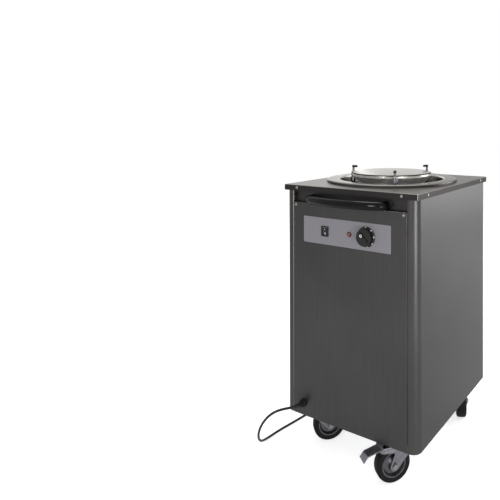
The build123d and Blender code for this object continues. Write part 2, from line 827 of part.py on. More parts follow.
def fork_leg(brake):
    """One leg's outline: wide under the race, round at the axle, with an ear for the brake."""
    axle = Pos(wheel_trail, wheel_radius) * Circle(fork_boss_radius)
    root = Pos(2.0, fork_top - 6.0) * Rectangle(2 * fork_half_length - 4.0, 12.0)
    leg = make_hull(axle.edges() + root.edges())
    if brake:
        ear = Pos(brake_pivot_x, brake_pivot_z) * Circle(brake_ear_radius)
        lug = Pos(fork_half_length - 8.0, brake_pivot_z - 4.0) * Circle(brake_ear_radius + 4.0)
        leg += make_hull(ear.edges() + lug.edges())
        leg -= Pos(brake_pivot_x, brake_pivot_z) * Circle(brake_pin_radius + 0.1)
    return leg - Pos(wheel_trail, wheel_radius) * Circle(axle_radius + 0.1)


def fork(brake):
    """The swivel fork: two legs, the crown between them and the lower race on top."""
    low_align = (Align.CENTER, Align.CENTER, Align.MIN)
    outer = fork_inside / 2 + fork_sheet
    shape = Pos(2.0, 0, fork_top - fork_sheet) * extrude(
        Rectangle(2 * fork_half_length - 4.0, 2 * outer), fork_sheet
    )
    leg = extrude(Plane.XZ * fork_leg(brake), fork_sheet)
    shape += Pos(0, outer, 0) * leg
    shape += Pos(0, -outer + fork_sheet, 0) * leg
    shape += Pos(0, 0, fork_top) * Cylinder(race_radius + 2.0, 2.5, align=low_align)
    return shape - Pos(0, 0, fork_top) * Cylinder(kingpin_radius + 0.1, 20)


def axle_bolt():
    """The wheel's axle: bolt, head and nut outside the legs."""
    outer = fork_inside / 2 + fork_sheet
    low_align = (Align.CENTER, Align.CENTER, Align.MIN)
    bolt = Cylinder(axle_radius, 2 * outer + 9.0, align=low_align)
    bolt = Pos(0, 0, -outer) * bolt
    head = Pos(0, 0, -outer) * extrude(RegularPolygon(7.0, 6), -4.5)
    nut = Pos(0, 0, outer) * extrude(RegularPolygon(7.0, 6), 6.0)
    return Pos(wheel_trail, 0, wheel_radius) * Rot(90, 0, 0) * (bolt + head + nut)


def wheel_hub():
    """The pressed hub: boss, dished web and rim seat."""
    half = wheel_width / 2 - 1.0
    boss = fork_inside / 2 - 0.5
    points = [
        (axle_radius + running_gap, -boss),
        (hub_boss_radius - 1.5, -boss),
        (hub_boss_radius, -5.0),
        (hub_web_radius, -3.0),
        (hub_rim_inside, -half),
        (hub_radius, -half),
        (hub_radius, half),
        (hub_rim_inside, half),
        (hub_web_radius, 3.0),
        (hub_boss_radius, 5.0),
        (hub_boss_radius - 1.5, boss),
        (axle_radius + running_gap, boss),
    ]
    section = make_face(Polyline(*points, close=True))
    hub = revolve(Plane.XY * section, Axis.Y)
    for k in range(5):
        hole = Rot(90, 0, 0) * Cylinder(hub_hole_radius, wheel_width)
        hub -= Rot(0, 72.0 * k + 36.0, 0) * Pos(hub_hole_circle, 0, 0) * hole
    return Pos(wheel_trail, 0, wheel_radius) * hub


def tyre():
    """The rubber tread, pressed on the hub's rim."""
    half = wheel_width / 2
    inner = hub_radius - hub_squeeze
    points = [
        (inner, -half, 0),
        (wheel_radius - tyre_edge, -half, 0),
        (wheel_radius, -half + tyre_shoulder, 0),
        (wheel_radius, half - tyre_shoulder, 0),
        (wheel_radius - tyre_edge, half, 0),
        (inner, half, 0),
    ]
    outline = round_path(points, [3.0, 4.0, 4.0, 3.0])
    section = make_face(Wire(outline.edges() + [Edge.make_line(outline @ 1, outline @ 0)]))
    return Pos(wheel_trail, 0, wheel_radius) * revolve(section, Axis.Y)


def brake_pedal():
    """The foot lever on its pin between the ears, with the cam that it turns on to the tyre."""
    inside = fork_inside / 2 - 0.4
    barrel = Rot(90, 0, 0) * Cylinder(5.0, 2 * inside)
    points = [
        (3.0, 3.2),
        (brake_reach - brake_pivot_x - 12.0, -6.0),
        (brake_reach - brake_pivot_x, -20.0),
    ]
    section = bent_sheet(points, [8.0], brake_sheet, side=Side.RIGHT)
    plate = extrude(Plane.XZ * section, brake_width / 2, both=True)
    narrow = Pos(4.0, 0, 0) * Box(16.0, 4 * inside, 30.0) - Pos(4.0, 0, 0) * Box(18.0, 2 * inside, 40.0)
    cam_at = Pos(brake_cam_x, 0, brake_cam_z)
    cam = cam_at * Rot(90, 0, 0) * Cylinder(brake_cam_radius, wheel_width - 4.0)
    web = Pos(brake_cam_x / 2, 0, brake_cam_z / 2) * Box(6.0, wheel_width - 4.0, 5.0)
    pin = Rot(90, 0, 0) * Cylinder(brake_pin_radius, fork_inside + 2 * fork_sheet + 1.0)
    pedal = barrel + (plate - narrow) + cam + web + pin
    return Pos(brake_pivot_x, 0, brake_pivot_z) * pedal


caster_setup = {
    "front_right": (caster_x, -caster_y, 234.0, True),
    "front_left": (-caster_x, -caster_y, 50.0, True),
    "rear_right": (caster_x, caster_y, 297.0, False),
    "rear_left": (-caster_x, caster_y, 250.0, False),
}


def make_caster(name, x, y, trail_angle, brake):
    turned = Pos(x, y, 0) * Rot(0, 0, trail_angle)
    made[f"caster_plate_{name}"] = Pos(x, y, 0) * caster_plate()
    made[f"fork_{name}"] = turned * fork(brake)
    made[f"axle_{name}"] = turned * axle_bolt()
    made[f"hub_{name}"] = turned * wheel_hub()
    made[f"tyre_{name}"] = turned * tyre()
    if brake:
        made[f"brake_pedal_{name}"] = turned * brake_pedal()


# ---- mains lead ----
def gland_nut():
    low_align = (Align.CENTER, Align.CENTER, Align.MIN)
    flange = Cylinder(gland_nut_radius, 3.0, align=low_align)
    nut = Pos(0, 0, 3.0) * extrude(RegularPolygon(gland_nut_radius - 1.0, 6), gland_nut_height - 3.0)
    inside = Cylinder(relief_root_radius, 12.0, align=(Align.CENTER, Align.CENTER, Align.MAX))
    locknut = Pos(0, 0, -sheet) * extrude(RegularPolygon(gland_nut_radius, 6), -4.0)
    return facing_front(gland_x, front_face, gland_z) * (flange + nut + inside + locknut)


def relief_path():
    """The strain relief's bent axis, from the gland to where the cord starts."""
    start = Vector(gland_x, front_face - gland_nut_height, gland_z)
    bend = turn(relief_bend_deg)
    side = relief_bend_radius * (1 - math.cos(bend))
    reach = relief_bend_radius * math.sin(bend)
    end = start + Vector(-side, -reach, 0)
    half_side = relief_bend_radius * (1 - math.cos(bend / 2))
    half_reach = relief_bend_radius * math.sin(bend / 2)
    return ThreePointArc(start, start + Vector(-half_side, -half_reach, 0), end)


def strain_relief():
    path = relief_path()
    root = Plane(origin=path @ 0, z_dir=path % 0) * Circle(relief_root_radius)
    tip = Plane(origin=path @ 1, z_dir=path % 1) * Circle(relief_tip_radius)
    return sweep([root, tip], path=path, multisection=True)


def cord_points():
    """The free stretch's route, from the strain relief round the cart's left side to the coil."""
    start = relief_path() @ 1
    second = start + (relief_path() % 1) * cord_first_run
    coil_start = coil_centre_y - coil_outer_radius
    side = -body_half_x
    front = front_face
    back = back_face
    return [
        (start.X, start.Y, start.Z),
        (second.X, second.Y, second.Z),
        (side + 5.0, front - 82.0, gland_z - 16.0),
        (side - 21.0, front - 89.0, gland_z - 52.0),
        (side - 41.0, front - 80.0, 50.0),
        (side - 56.0, front - 54.0, 15.0),
        (side - 64.0, front - 15.0, cord_z),
        (side - 61.0, front + 33.0, cord_z),
        (side - 52.0, front + 87.0, cord_z),
        (side - 43.0, front + 147.0, cord_z),
        (side - 38.0, -40.0, cord_z),
        (side - 42.0, 30.0, cord_z),
        (side - 38.0, back - 157.0, cord_z),
        (side - 41.0, back - 92.0, cord_z),
        (side - 36.0, back - 35.0, cord_z),
        (side - 14.0, back + 15.0, cord_z),
        (side + 27.0, back + 46.0, cord_z),
        (side + 77.0, back + 49.0, cord_z),
        (side + 122.0, back + 33.0, cord_z),
        (coil_centre_x - 48.0, coil_start, cord_z),
        (coil_centre_x - 2 * cord_radius, coil_start, cord_z),
    ]


def cord_radii(points):
    radii = []
    for k in range(1, len(points) - 1):
        way_in = Vector(*points[k]) - Vector(*points[k - 1])
        way_out = Vector(*points[k + 1]) - Vector(*points[k])
        half = way_in.get_angle(way_out) / 2
        radii.append(0.45 * min(way_in.length, way_out.length) / math.tan(turn(half)))
    return radii


def tube_along(path, radius):
    section = Plane(origin=path @ 0, z_dir=path % 0) * Circle(radius)
    return sweep(section, path=path)


def coil_path():
    """Turns of half circles: in on the floor layer, up a layer, then out again."""
    high = cord_z + coil_pitch
    steps = 2 * coil_turns_per_layer
    inner = coil_outer_radius - steps * coil_pitch / 2
    shrinking = [coil_outer_radius - k * coil_pitch / 2 for k in range(steps)]
    growing = [inner + k * coil_pitch / 2 for k in range(1, steps + 1)]
    x = coil_outer_radius
    side = 1
    edges = [Edge.make_line((x, -2 * cord_radius, cord_z), (x, 0, cord_z))]
    for radius in shrinking:
        centre = x - side * radius
        edges.append(
            ThreePointArc((x, 0, cord_z), (centre, side * radius, cord_z), (centre - side * radius, 0, cord_z)).edge()
        )
        x = centre - side * radius
        side = -side
    centre = x - side * inner
    climb = high - cord_z
    crest = (centre, side * math.hypot(inner, climb / 2), cord_z + climb / 2)
    far = (centre - side * inner, 0, high)
    edges.append(TangentArc((x, 0, cord_z), crest, tangent=(0, side, 0)).edge())
    edges.append(TangentArc(crest, far, tangent=edges[-1] % 1).edge())
    x = centre - side * inner
    side = -side
    for radius in growing:
        centre = x - side * radius
        edges.append(
            ThreePointArc((x, 0, high), (centre, side * radius, high), (centre - side * radius, 0, high)).edge()
        )
        x = centre - side * radius
        side = -side
    edges.append(Edge.make_line((x, 0, high), (x, side * 2 * cord_radius, high)))
    placed = Pos(coil_centre_x, coil_centre_y, 0) * Rot(0, 0, -90)
    return placed * Wire(edges)


def least_gap(path, clear_along):
    """The least gap between parts of a tube that lie further than clear_along from each other."""
    count = 360
    length = path.length
    points = [path @ (k / count) for k in range(count + 1)]
    skip = math.ceil(clear_along / (length / count))
    gap = min(
        (points[a] - points[b]).length
        for a in range(count + 1)
        for b in range(a + skip, count + 1)
    )
    return gap - 2 * cord_radius


def coil_end():
    path = coil_path()
    return path @ 1, path % 1


def plug():
    """A moulded mains plug lying flat, its sleeve meeting the coil's end."""
    start, way = coil_end()
    half_thick = start.Z
    low_align = (Align.CENTER, Align.CENTER, Align.MIN)
    sleeve = extrude(Circle(cord_radius + 0.5), plug_relief_length, taper=-4)
    grip = loft(
        [
            Pos(0, 0, plug_relief_length) * RectangleRounded(16, 2 * half_thick - 4.0, 5),
            Pos(0, 0, plug_relief_length + 14.0) * RectangleRounded(plug_width, 2 * half_thick, 5),
        ]
    )
    body = Pos(0, 0, plug_relief_length + 14.0) * extrude(
        RectangleRounded(plug_width, 2 * half_thick, 5), plug_length - 14.0
    )
    pins = Pos(0, 0, plug_relief_length + plug_length)
    face = Pos(9.0, 0, 0) * Box(2.0, 6.4, plug_pin_length, align=low_align)
    face += Pos(-9.0, 0, 0) * Box(2.0, 6.4, plug_pin_length, align=low_align)
    face += Cylinder(2.4, plug_pin_length, align=low_align)
    frame = Plane(origin=start, x_dir=Vector(0, 0, 1).cross(way), z_dir=way)
    return frame * (sleeve + grip + body + pins * face)


def coil_tie():
    """The strap round one side of the coil."""
    layers = 2
    width = coil_turns_per_layer * coil_pitch + 2 * cord_radius + 3.0
    height = (layers - 1) * coil_pitch + 2 * cord_radius + 1.2
    middle = coil_outer_radius - (coil_turns_per_layer * coil_pitch) / 2
    outer = RectangleRounded(width + 2 * tie_sheet, height + tie_sheet, 2.5)
    inner = Pos(0, -tie_sheet / 2) * RectangleRounded(width, height, 1.5)
    strap = extrude(Plane.XZ * (outer - inner), tie_width / 2, both=True)
    placed = Pos(coil_centre_x + middle, coil_centre_y, (height + tie_sheet) / 2)
    return placed * strap


# ---- build ----
made["side_panel_right"] = side_panel(1)
made["side_panel_left"] = side_panel(-1)
made["front_panel"] = front_panel()
made["rear_panel"] = rear_panel()
made["handle_band"] = handle_band()
made["base_pan"] = base_pan()
made["worktop"] = worktop()
made["cabinet_screws"] = cabinet_screws()
made["well_ring"] = well_ring()
made["well_tube"] = well_tube()
made["well_floor"] = well_floor()
made["well_supports"] = well_supports()
made["heater_element"] = heater_element()
made["heater_clips"] = heater_clips()
made["spring_seat"] = spring_seat()
made["lift_spring"] = lift_spring()
made["carrier_plate"] = carrier_plate()
made["carrier_spider"] = carrier_spider()
made["guide_bushes"] = guide_bushes()
made["guide_rods"] = guide_rods()
made["guide_caps"] = guide_caps()
made["push_handle"] = push_handle()
made["handle_feet"] = handle_feet()
made["handle_bolts"] = handle_bolts()
made["control_plate"] = control_plate()
made["switch_housing"] = switch_housing()
made["rocker"] = rocker()
made["pilot_bezel"] = pilot_bezel()
made["pilot_lens"] = pilot_lens()
made["thermostat"] = thermostat()
made["knob"] = knob()
made["caster_bolts"] = caster_bolts()
for caster_name, caster_values in caster_setup.items():
    make_caster(caster_name, *caster_values)
made["cable_gland"] = gland_nut()
made["strain_relief"] = strain_relief()

lead_nodes = ("cord", "cord_coil", "cord_tie", "plug")
route = cord_points()
route_radii = cord_radii(route)
free_cord = round_path(route, route_radii)
coil = coil_path()
made["cord"] = tube_along(free_cord, cord_radius)
made["cord_coil"] = tube_along(coil, cord_radius)
made["cord_tie"] = coil_tie()
made["plug"] = plug()

print("cord bend radii", [round(r, 1) for r in route_radii])
print("cord lengths free", round(free_cord.length, 1), "coil", round(coil.length, 1))
print("coil least gap", round(least_gap(coil, 3 * coil_pitch), 2))
print("cord least gap", round(least_gap(free_cord, 3 * coil_pitch), 2))

body_box = Compound([shape for name, shape in made.items() if name not in lead_nodes]).bounding_box()
to_frame = Pos(0, -body_box.center().Y, 0)
print("moved along Y by", round(-body_box.center().Y, 3))

os.makedirs("parts", exist_ok=True)
for name, shape in made.items():
    export_step(to_frame * shape, f"parts/{name}.step")
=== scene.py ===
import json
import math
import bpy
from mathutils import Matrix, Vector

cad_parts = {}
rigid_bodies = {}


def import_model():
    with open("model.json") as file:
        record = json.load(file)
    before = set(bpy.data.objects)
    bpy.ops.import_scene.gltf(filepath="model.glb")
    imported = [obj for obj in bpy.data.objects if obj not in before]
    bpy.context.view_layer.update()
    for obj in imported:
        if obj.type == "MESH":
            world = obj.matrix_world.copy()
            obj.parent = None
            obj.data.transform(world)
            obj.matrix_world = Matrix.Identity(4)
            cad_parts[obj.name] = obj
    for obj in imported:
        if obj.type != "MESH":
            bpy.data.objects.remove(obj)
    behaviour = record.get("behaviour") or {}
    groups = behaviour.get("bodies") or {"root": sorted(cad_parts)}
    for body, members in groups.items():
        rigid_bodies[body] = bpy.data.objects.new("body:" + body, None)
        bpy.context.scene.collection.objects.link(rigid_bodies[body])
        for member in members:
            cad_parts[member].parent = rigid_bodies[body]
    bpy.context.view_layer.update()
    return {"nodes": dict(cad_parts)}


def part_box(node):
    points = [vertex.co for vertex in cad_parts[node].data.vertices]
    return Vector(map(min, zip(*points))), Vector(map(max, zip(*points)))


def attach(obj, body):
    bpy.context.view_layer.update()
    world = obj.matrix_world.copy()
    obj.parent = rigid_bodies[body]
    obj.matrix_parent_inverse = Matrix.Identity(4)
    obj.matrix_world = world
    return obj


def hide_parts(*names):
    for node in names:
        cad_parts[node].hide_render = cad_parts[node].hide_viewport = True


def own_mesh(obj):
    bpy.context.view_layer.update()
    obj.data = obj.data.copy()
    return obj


bl_info = {
    "name": "Heated plate dispenser cart",
    "version": (1, 0, 0),
    "blender": (4, 5, 0),
    "location": "View3D > Sidebar > Plate cart",
    "description": "Dresses the sprung plate dispenser cart, piece by piece, over its packed model",
    "category": "Object",
}

import bmesh
import bpy
from mathutils import Matrix, Vector

for leftover in list(bpy.data.objects):
    bpy.data.objects.remove(leftover)

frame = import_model()
top_low, top_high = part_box("worktop")
centre_y = (top_low.y + top_high.y) / 2

# Pieces are shaped in millimetres about the cabinet's plan centre, then brought into the frame.
TO_FRAME = Matrix.Translation((0.0, centre_y, 0.0)) @ Matrix.Scale(0.001, 4)
AS_PACKED = Matrix.Identity(4)

# The cart's driving sizes in millimetres: from that centre, and up from the floor.
HALF_WIDTH, HALF_DEPTH = 227.0, 257.0
SEAM_X, SEAM_GAP = 196.0, 0.4
RECESS_Y = 243.0
PANEL_FOOT, PANEL_TOP, FRONT_TOP = 108.0, 798.5, 749.0
TOP_HALF_WIDTH, TOP_HALF_DEPTH, TOP_Z = 230.0, 260.0, 800.0
SHEET = 1.5
WHEEL_TRAIL, WHEEL_Z = 40.0, 50.0
# Where each caster swivels, and the way in degrees that its wheel trails.
CASTERS = {
    "front_right": (157.0, -197.0, 234.0),
    "front_left": (-157.0, -197.0, 50.0),
    "rear_right": (157.0, 197.0, 297.0),
    "rear_left": (-157.0, 197.0, 250.0),
}


def linear(hex_colour):
    """An sRGB hex colour as Blender's linear red, green, blue and alpha."""
    parts = [int(hex_colour[k : k + 2], 16) / 255 for k in (1, 3, 5)]
    return [c / 12.92 if c <= 0.04045 else ((c + 0.055) / 1.055) ** 2.4 for c in parts] + [1.0]


def colour_property(name, description, hex_colour):
    """A colour that a user may change, given as sRGB hex."""
    return bpy.props.FloatVectorProperty(
        name=name,
        description=description,
        subtype="COLOR",
        size=3,
        min=0.0,
        max=1.0,
        default=linear(hex_colour)[:3],
    )


def length_property(name, description, metres):
    """A length that a user may change."""
    return bpy.props.FloatProperty(name=name, description=description, default=metres, unit="LENGTH")


class CabinetSettings(bpy.types.PropertyGroup):
    panel_colour: colour_property("Panel steel", "Tone of the brushed front, side and rear sheets", "#474646")
    top_colour: colour_property("Worktop steel", "Tone of the brushed worktop", "#7c7975")
    # The band's darker tone is painted shade from the worktop above.
    band_colour: colour_property("Band steel", "Tone of the recessed band behind the handle", "#3a3838")
    # The flange's darker tone is painted shade and painted dark reflection on the same steel.
    flange_colour: colour_property("Flange steel", "Tone of the worktop's folded edge", "#363434")
    corner_radius: length_property("Corner radius", "Radius of the cabinet's upright corners", 0.026)
    fold_radius: length_property("Fold radius", "Radius of the sheet's sharp folds", 0.0015)


class LiftSettings(bpy.types.PropertyGroup):
    ring_colour: colour_property("Ring steel", "Tone of the pressed trim ring", "#787570")
    table_colour: colour_property("Table steel", "Tone of the plate table", "#a6a39d")
    # The well's pale tone is painted light and reflection inside the gap round the table.
    well_colour: colour_property("Well steel", "Tone inside the well and on the table's skirt", "#f4f2ef")
    rim_radius: length_property("Rim radius", "Rounding of the plate table's upper edge", 0.004)


class ControlSettings(bpy.types.PropertyGroup):
    fascia_colour: colour_property("Fascia", "Colour of the control plate", "#7c7a80")
    lamp_colour: colour_property("Lamp", "Colour of the pilot lamp's lens", "#7c2a0e")
    grip_colour: colour_property("Grip", "Colour of the push handle", "#0b0b0c")


class LeadSettings(bpy.types.PropertyGroup):
    lead_colour: colour_property("Lead", "Colour of the mains lead", "#161616")
    lead_diameter: length_property("Diameter", "Outside diameter of the mains lead", 0.0072)


# ---- finishes ----
def add_node(tree, kind, inputs=None, **settings):
    """Adds a shader node, sets it, and gives its sockets values or links."""
    node = tree.nodes.new("ShaderNode" + kind)
    for name, value in settings.items():
        setattr(node, name, value)
    for socket, value in (inputs or {}).items():
        if isinstance(value, bpy.types.NodeSocket):
            tree.links.new(value, node.inputs[socket])
        else:
            node.inputs[socket].default_value = value
    return node


def start_finish(name):
    """An empty material with its shader, to be given its pattern."""
    finish = bpy.data.materials.new(name)
    finish.use_nodes = True
    tree = finish.node_tree
    tree.nodes.clear()
    shader = add_node(tree, "BsdfPrincipled")
    add_node(tree, "OutputMaterial", {"Surface": shader.outputs["BSDF"]})
    return finish, tree, shader


def dress(tree, shader, pattern, dark, light, gloss, relief, strength, depth):
    """Ties a finish together: its tone from dark to light, its uneven gloss and its fine relief."""
    tone = add_node(tree, "Mix", {"Factor": pattern, "A": dark, "B": light}, data_type="RGBA")
    bump = add_node(tree, "Bump", {"Height": relief, "Strength": strength, "Distance": depth})
    tree.links.new(tone.outputs["Result"], shader.inputs["Base Color"])
    tree.links.new(gloss.outputs[0], shader.inputs["Roughness"])
    tree.links.new(bump.outputs[0], shader.inputs["Normal"])


def polish_metal(shader, edge):
    """Makes it metal, and sets the share of light that it returns at a grazing look."""
    shader.inputs["Metallic"].default_value = 1.0
    shader.inputs["Specular Tint"].default_value = (edge, edge, edge, 1.0)


def tint(colour, factor):
    """The colour made darker or lighter, with its alpha."""
    return [min(1.0, c * factor) for c in colour[:3]] + [1.0]


# Grain streaks to the metre, each about 2.2 mm wide and 110 mm long.
ACROSS, ALONG = 450.0, 9.0
# Blender's noise keeps mostly between these.
NOISE_SPAN = {"From Min": 0.3, "From Max": 0.7}


def brushed_stainless(name, setting, roughness, grain, edge=0.7):
    """Brushed stainless sheet: fine straight grain that spreads highlights, with faint smudges.

    The grain is about 0.3 mm in truth, too fine to show, so it is drawn some 2 mm wide. The smudges
    are about a hand across. The grain dulls the sheet at a grazing look, which the edge gives.
    """
    colour = getattr(bpy.context.scene.cart_cabinet, setting)
    finish, tree, shader = start_finish(name)
    place = add_node(tree, "TexCoord").outputs["Object"]
    stretch = add_node(tree, "Mapping", {"Vector": place, "Scale": grain})
    streaks = add_node(
        tree, "TexNoise", {"Vector": stretch.outputs[0], "Scale": 1.0, "Detail": 4.0, "Roughness": 0.6}
    )
    smudge = add_node(tree, "TexNoise", {"Vector": place, "Scale": 5.0, "Detail": 3.0})
    halves = {
        k: add_node(tree, "MapRange", {"Value": noise.outputs[0], **NOISE_SPAN, "To Max": 0.5}).outputs[0]
        for k, noise in enumerate((streaks, smudge))
    }
    both = add_node(tree, "Math", halves, operation="ADD").outputs[0]
    spread = {"To Min": roughness - 0.05, "To Max": roughness + 0.06}
    gloss = add_node(tree, "MapRange", {"Value": both, **spread})
    dark, light = tint(colour, 0.84), tint(colour, 1.12)
    dress(tree, shader, both, dark, light, gloss, streaks.outputs[0], 0.05, 0.0002)
    polish_metal(shader, edge)
    return finish


def spun_steel(name, setting, roughness, edge):
    """Spun and polished stainless: rings of fine tool marks round the piece's own axis.

    The marks are a fraction of a millimetre apart in truth and drawn some 5 mm apart, so that they
    show: Blender's wave repeats each 0.314 metres, divided by its scale.
    """
    colour = getattr(bpy.context.scene.cart_lift, setting)
    finish, tree, shader = start_finish(name)
    place = add_node(tree, "TexCoord").outputs["Object"]
    centred = add_node(tree, "Mapping", {"Vector": place, "Location": (0.0, -centre_y, 0.0)})
    wave = {"Vector": centred.outputs[0], "Scale": 60.0, "Distortion": 0.5, "Detail": 3.0}
    rings = add_node(
        tree, "TexWave", {**wave, "Detail Scale": 2.0}, wave_type="RINGS", rings_direction="Z"
    )
    smudge = add_node(tree, "TexNoise", {"Vector": place, "Scale": 7.0, "Detail": 3.0})
    both = add_node(tree, "Math", {0: rings.outputs[0], 1: smudge.outputs[0]}, operation="MULTIPLY")
    spread = {"To Min": roughness - 0.04, "To Max": roughness + 0.06}
    gloss = add_node(tree, "MapRange", {"Value": smudge.outputs[0], **NOISE_SPAN, **spread})
    dark, light = tint(colour, 0.9), tint(colour, 1.1)
    dress(tree, shader, both.outputs[0], dark, light, gloss, rings.outputs[0], 0.02, 0.0002)
    polish_metal(shader, edge)
    return finish


def speckled(name, dark, light, speck_mm, roughness, bump=0.1, level=0.5, metallic=0.0):
    """A finish with a fine mottle of the given size in both its tone and its gloss."""
    finish, tree, shader = start_finish(name)
    place = add_node(tree, "TexCoord").outputs["Object"]
    mottle = {"Vector": place, "Scale": 1000.0 / speck_mm, "Detail": 3.0, "Roughness": 0.6}
    specks = add_node(tree, "TexNoise", mottle).outputs[0]
    spread = {"To Min": roughness - 0.06, "To Max": roughness + 0.08}
    gloss = add_node(tree, "MapRange", {"Value": specks, **NOISE_SPAN, **spread})
    dress(tree, shader, specks, dark, light, gloss, specks, bump, 0.0004)
    shader.inputs["Metallic"].default_value = metallic
    shader.inputs["Specular IOR Level"].default_value = level
    return finish


def moulded(name, dark, light, *surface):
    """A plastic, rubber or ink with a mottle between two sRGB hex tones."""
    return speckled(name, linear(dark), linear(light), *surface)


def plain_metal(name, dark, light, *surface):
    """A bare or plated metal with a mottle between two sRGB hex tones."""
    return speckled(name, linear(dark), linear(light), *surface, metallic=1.0)


def tinted(name, group, setting, darker, lighter, *surface):
    """A plastic or paint with a mottle either side of the colour that the user has set."""
    colour = getattr(getattr(bpy.context.scene, group), setting)
    return speckled(name, tint(colour, darker), tint(colour, lighter), *surface)


def lamp_lens():
    """The pilot lamp's polycarbonate, a little lit from within."""
    finish = tinted("orange_polycarbonate", "cart_controls", "lamp_colour", 0.7, 1.1, 3.0, 0.14, 0.02)
    shader = finish.node_tree.nodes["Principled BSDF"]
    shader.inputs["IOR"].default_value = 1.58
    shader.inputs["Coat Weight"].default_value = 0.15
    lit = bpy.context.scene.cart_controls.lamp_colour
    shader.inputs["Emission Color"].default_value = tint(lit, 1.0)
    shader.inputs["Emission Strength"].default_value = 0.05
    return finish


# Each finish is what makes it and what that is given. A moulding, a plain metal or a tinted finish
# is given its name and tones, the width of its mottle in mm, its roughness, relief and specular level.
FINISHES = {
    # The front, side and rear sheets: brushed upright, mid grey, dull at a grazing look.
    "stainless_panel": (
        brushed_stainless, "brushed_stainless_panel", "panel_colour", 0.34, (ACROSS, ACROSS, ALONG)
    ),
    # The worktop's face, brushed the width of the cart, paler; on the seam folds and worktop corners, a
    # painted highlight.
    "stainless_top": (
        brushed_stainless, "brushed_stainless_worktop", "top_colour", 0.3, (ALONG, ACROSS, ACROSS), 0.55
    ),
    # Folded edges of worktop, ring and table: the same sheet, brushed lengthwise, darker as painted shade and
    # reflection.
    "flange_steel_painted_shade": (
        brushed_stainless, "brushed_stainless_flange", "flange_colour", 0.3, (ALONG, ALONG, ACROSS), 0.5
    ),
    # The recessed band: brushed the width of the cart, the worktop's steel darkened as painted shade from the
    # worktop.
    "band_steel": (
        brushed_stainless, "brushed_stainless_band", "band_colour", 0.36, (ALONG, ACROSS, ACROSS)
    ),
    # The trim ring: spun, grey, with a soft gloss.
    "stainless_well": (spun_steel, "spun_stainless_ring", "ring_colour", 0.2, 0.6),
    # The plate table's face and the ring's rolled lip: spun, the palest of the steels; on the lip it is a
    # painted highlight.
    "stainless_table": (spun_steel, "spun_stainless_table", "table_colour", 0.24, 0.9),
    # The well's wall and floor and the table's skirt: satin metal made far paler as painted light and
    # reflection in the gap.
    "well_steel_painted_light": (spun_steel, "satin_stainless_well", "well_colour", 0.4, 1.0),
    # Cold-drawn guide posts: dark grey steel with a polished, slightly streaky skin.
    "guide_steel": (plain_metal, "cold_drawn_guide_steel", "#4c4c4e", "#6c6c6e", 4.0, 0.25, 0.03),
    # Pressed wheel discs: zinc plate, a little rougher and darker than the forks.
    "hub_steel": (plain_metal, "dull_zinc_hub", "#4a494d", "#605f63", 5.0, 0.36, 0.05),
    # Hot-dip galvanised sheet: pale grey zinc with a dull mottle of crystals.
    "galvanised": (plain_metal, "galvanised_sheet", "#8f9294", "#b4b7b8", 8.0, 0.45, 0.1),
    # Tumbled steel screw heads and pins: smooth and grey, with a slight haze.
    "screw_steel": (plain_metal, "tumbled_screw_steel", "#757371", "#93918f", 2.0, 0.3, 0.05),
    # Zinc-plated pressings: bluish grey, slightly clouded.
    "zinc_plated": (plain_metal, "zinc_plated_steel", "#626267", "#818187", 5.0, 0.33, 0.05),
    # Annealed heater tube: dark, dull, heat-browned steel.
    "heater_sheath": (plain_metal, "annealed_heater_sheath", "#4a4038", "#6f6258", 6.0, 0.5, 0.1),
    # Drawn spring wire: grey, lightly oiled.
    "spring_steel": (plain_metal, "drawn_spring_steel", "#7a7b7c", "#9b9c9c", 3.0, 0.32, 0.05),
    # The push handle: gloss black phenolic, with the clear wet-looking skin of its mould.
    "grip_black": (
        tinted, "gloss_black_phenolic", "cart_controls", "grip_colour", 0.8, 1.4, 12.0, 0.09, 0.01, 0.12
    ),
    # Moulded nylon and phenolic small parts: black, satin, finely textured.
    "plastic_black": (moulded, "satin_black_moulding", "#0f0f10", "#1d1d1f", 0.9, 0.36, 0.15, 0.25),
    # The control plate: even lilac-grey powder coat with a fine orange-peel skin.
    "fascia_grey": (
        tinted, "powder_coated_fascia", "cart_controls", "fascia_colour", 0.96, 1.04, 1.2, 0.42, 0.08
    ),
    # The pilot lamp: orange polycarbonate, clear and glossy.
    "lens_orange": (lamp_lens,),
    # Natural nylon bushes: warm white, waxy.
    "bush_white": (moulded, "natural_nylon", "#d8d4c6", "#e6e2d6", 4.0, 0.4, 0.05),
    # Solid caster rubber: near black, matt, dusty on the tread.
    "tyre_black": (moulded, "solid_black_rubber", "#0b0b0b", "#181717", 1.6, 0.6, 0.2, 0.12),
    # Lead and plug: black PVC, softly shining.
    "lead_black": (tinted, "black_pvc", "cart_lead", "lead_colour", 0.8, 1.3, 1.5, 0.34, 0.08, 0.25),
    # Moulded nylon tie: mid grey, satin.
    "strap_grey": (moulded, "grey_nylon_strap", "#6d6f72", "#808285", 2.0, 0.42, 0.1),
    # Screen-printed white marks: thin, matt, slightly uneven ink.
    "print": (moulded, "white_print", "#c9c9c6", "#e4e4e0", 1.0, 0.5, 0.03),
}
made_finishes = {}


def finish_for(name):
    """The finish of that name, made when it is first asked for."""
    if name not in made_finishes:
        maker, *facts = FINISHES[name]
        made_finishes[name] = maker(*facts)
    return made_finishes[name]


# ---- shaping ----
def true_flats(piece):
    """Keeps wide flat faces evenly shaded right up to their rounded folds."""
    weigh = piece.modifiers.new("flats", "WEIGHTED_NORMAL")
    weigh.keep_sharp = True
    depsgraph = bpy.context.evaluated_depsgraph_get()
    weighed = piece.evaluated_get(depsgraph)
    piece.data = bpy.data.meshes.new_from_object(weighed, preserve_all_data_layers=True, depsgraph=depsgraph)
    piece.modifiers.clear()


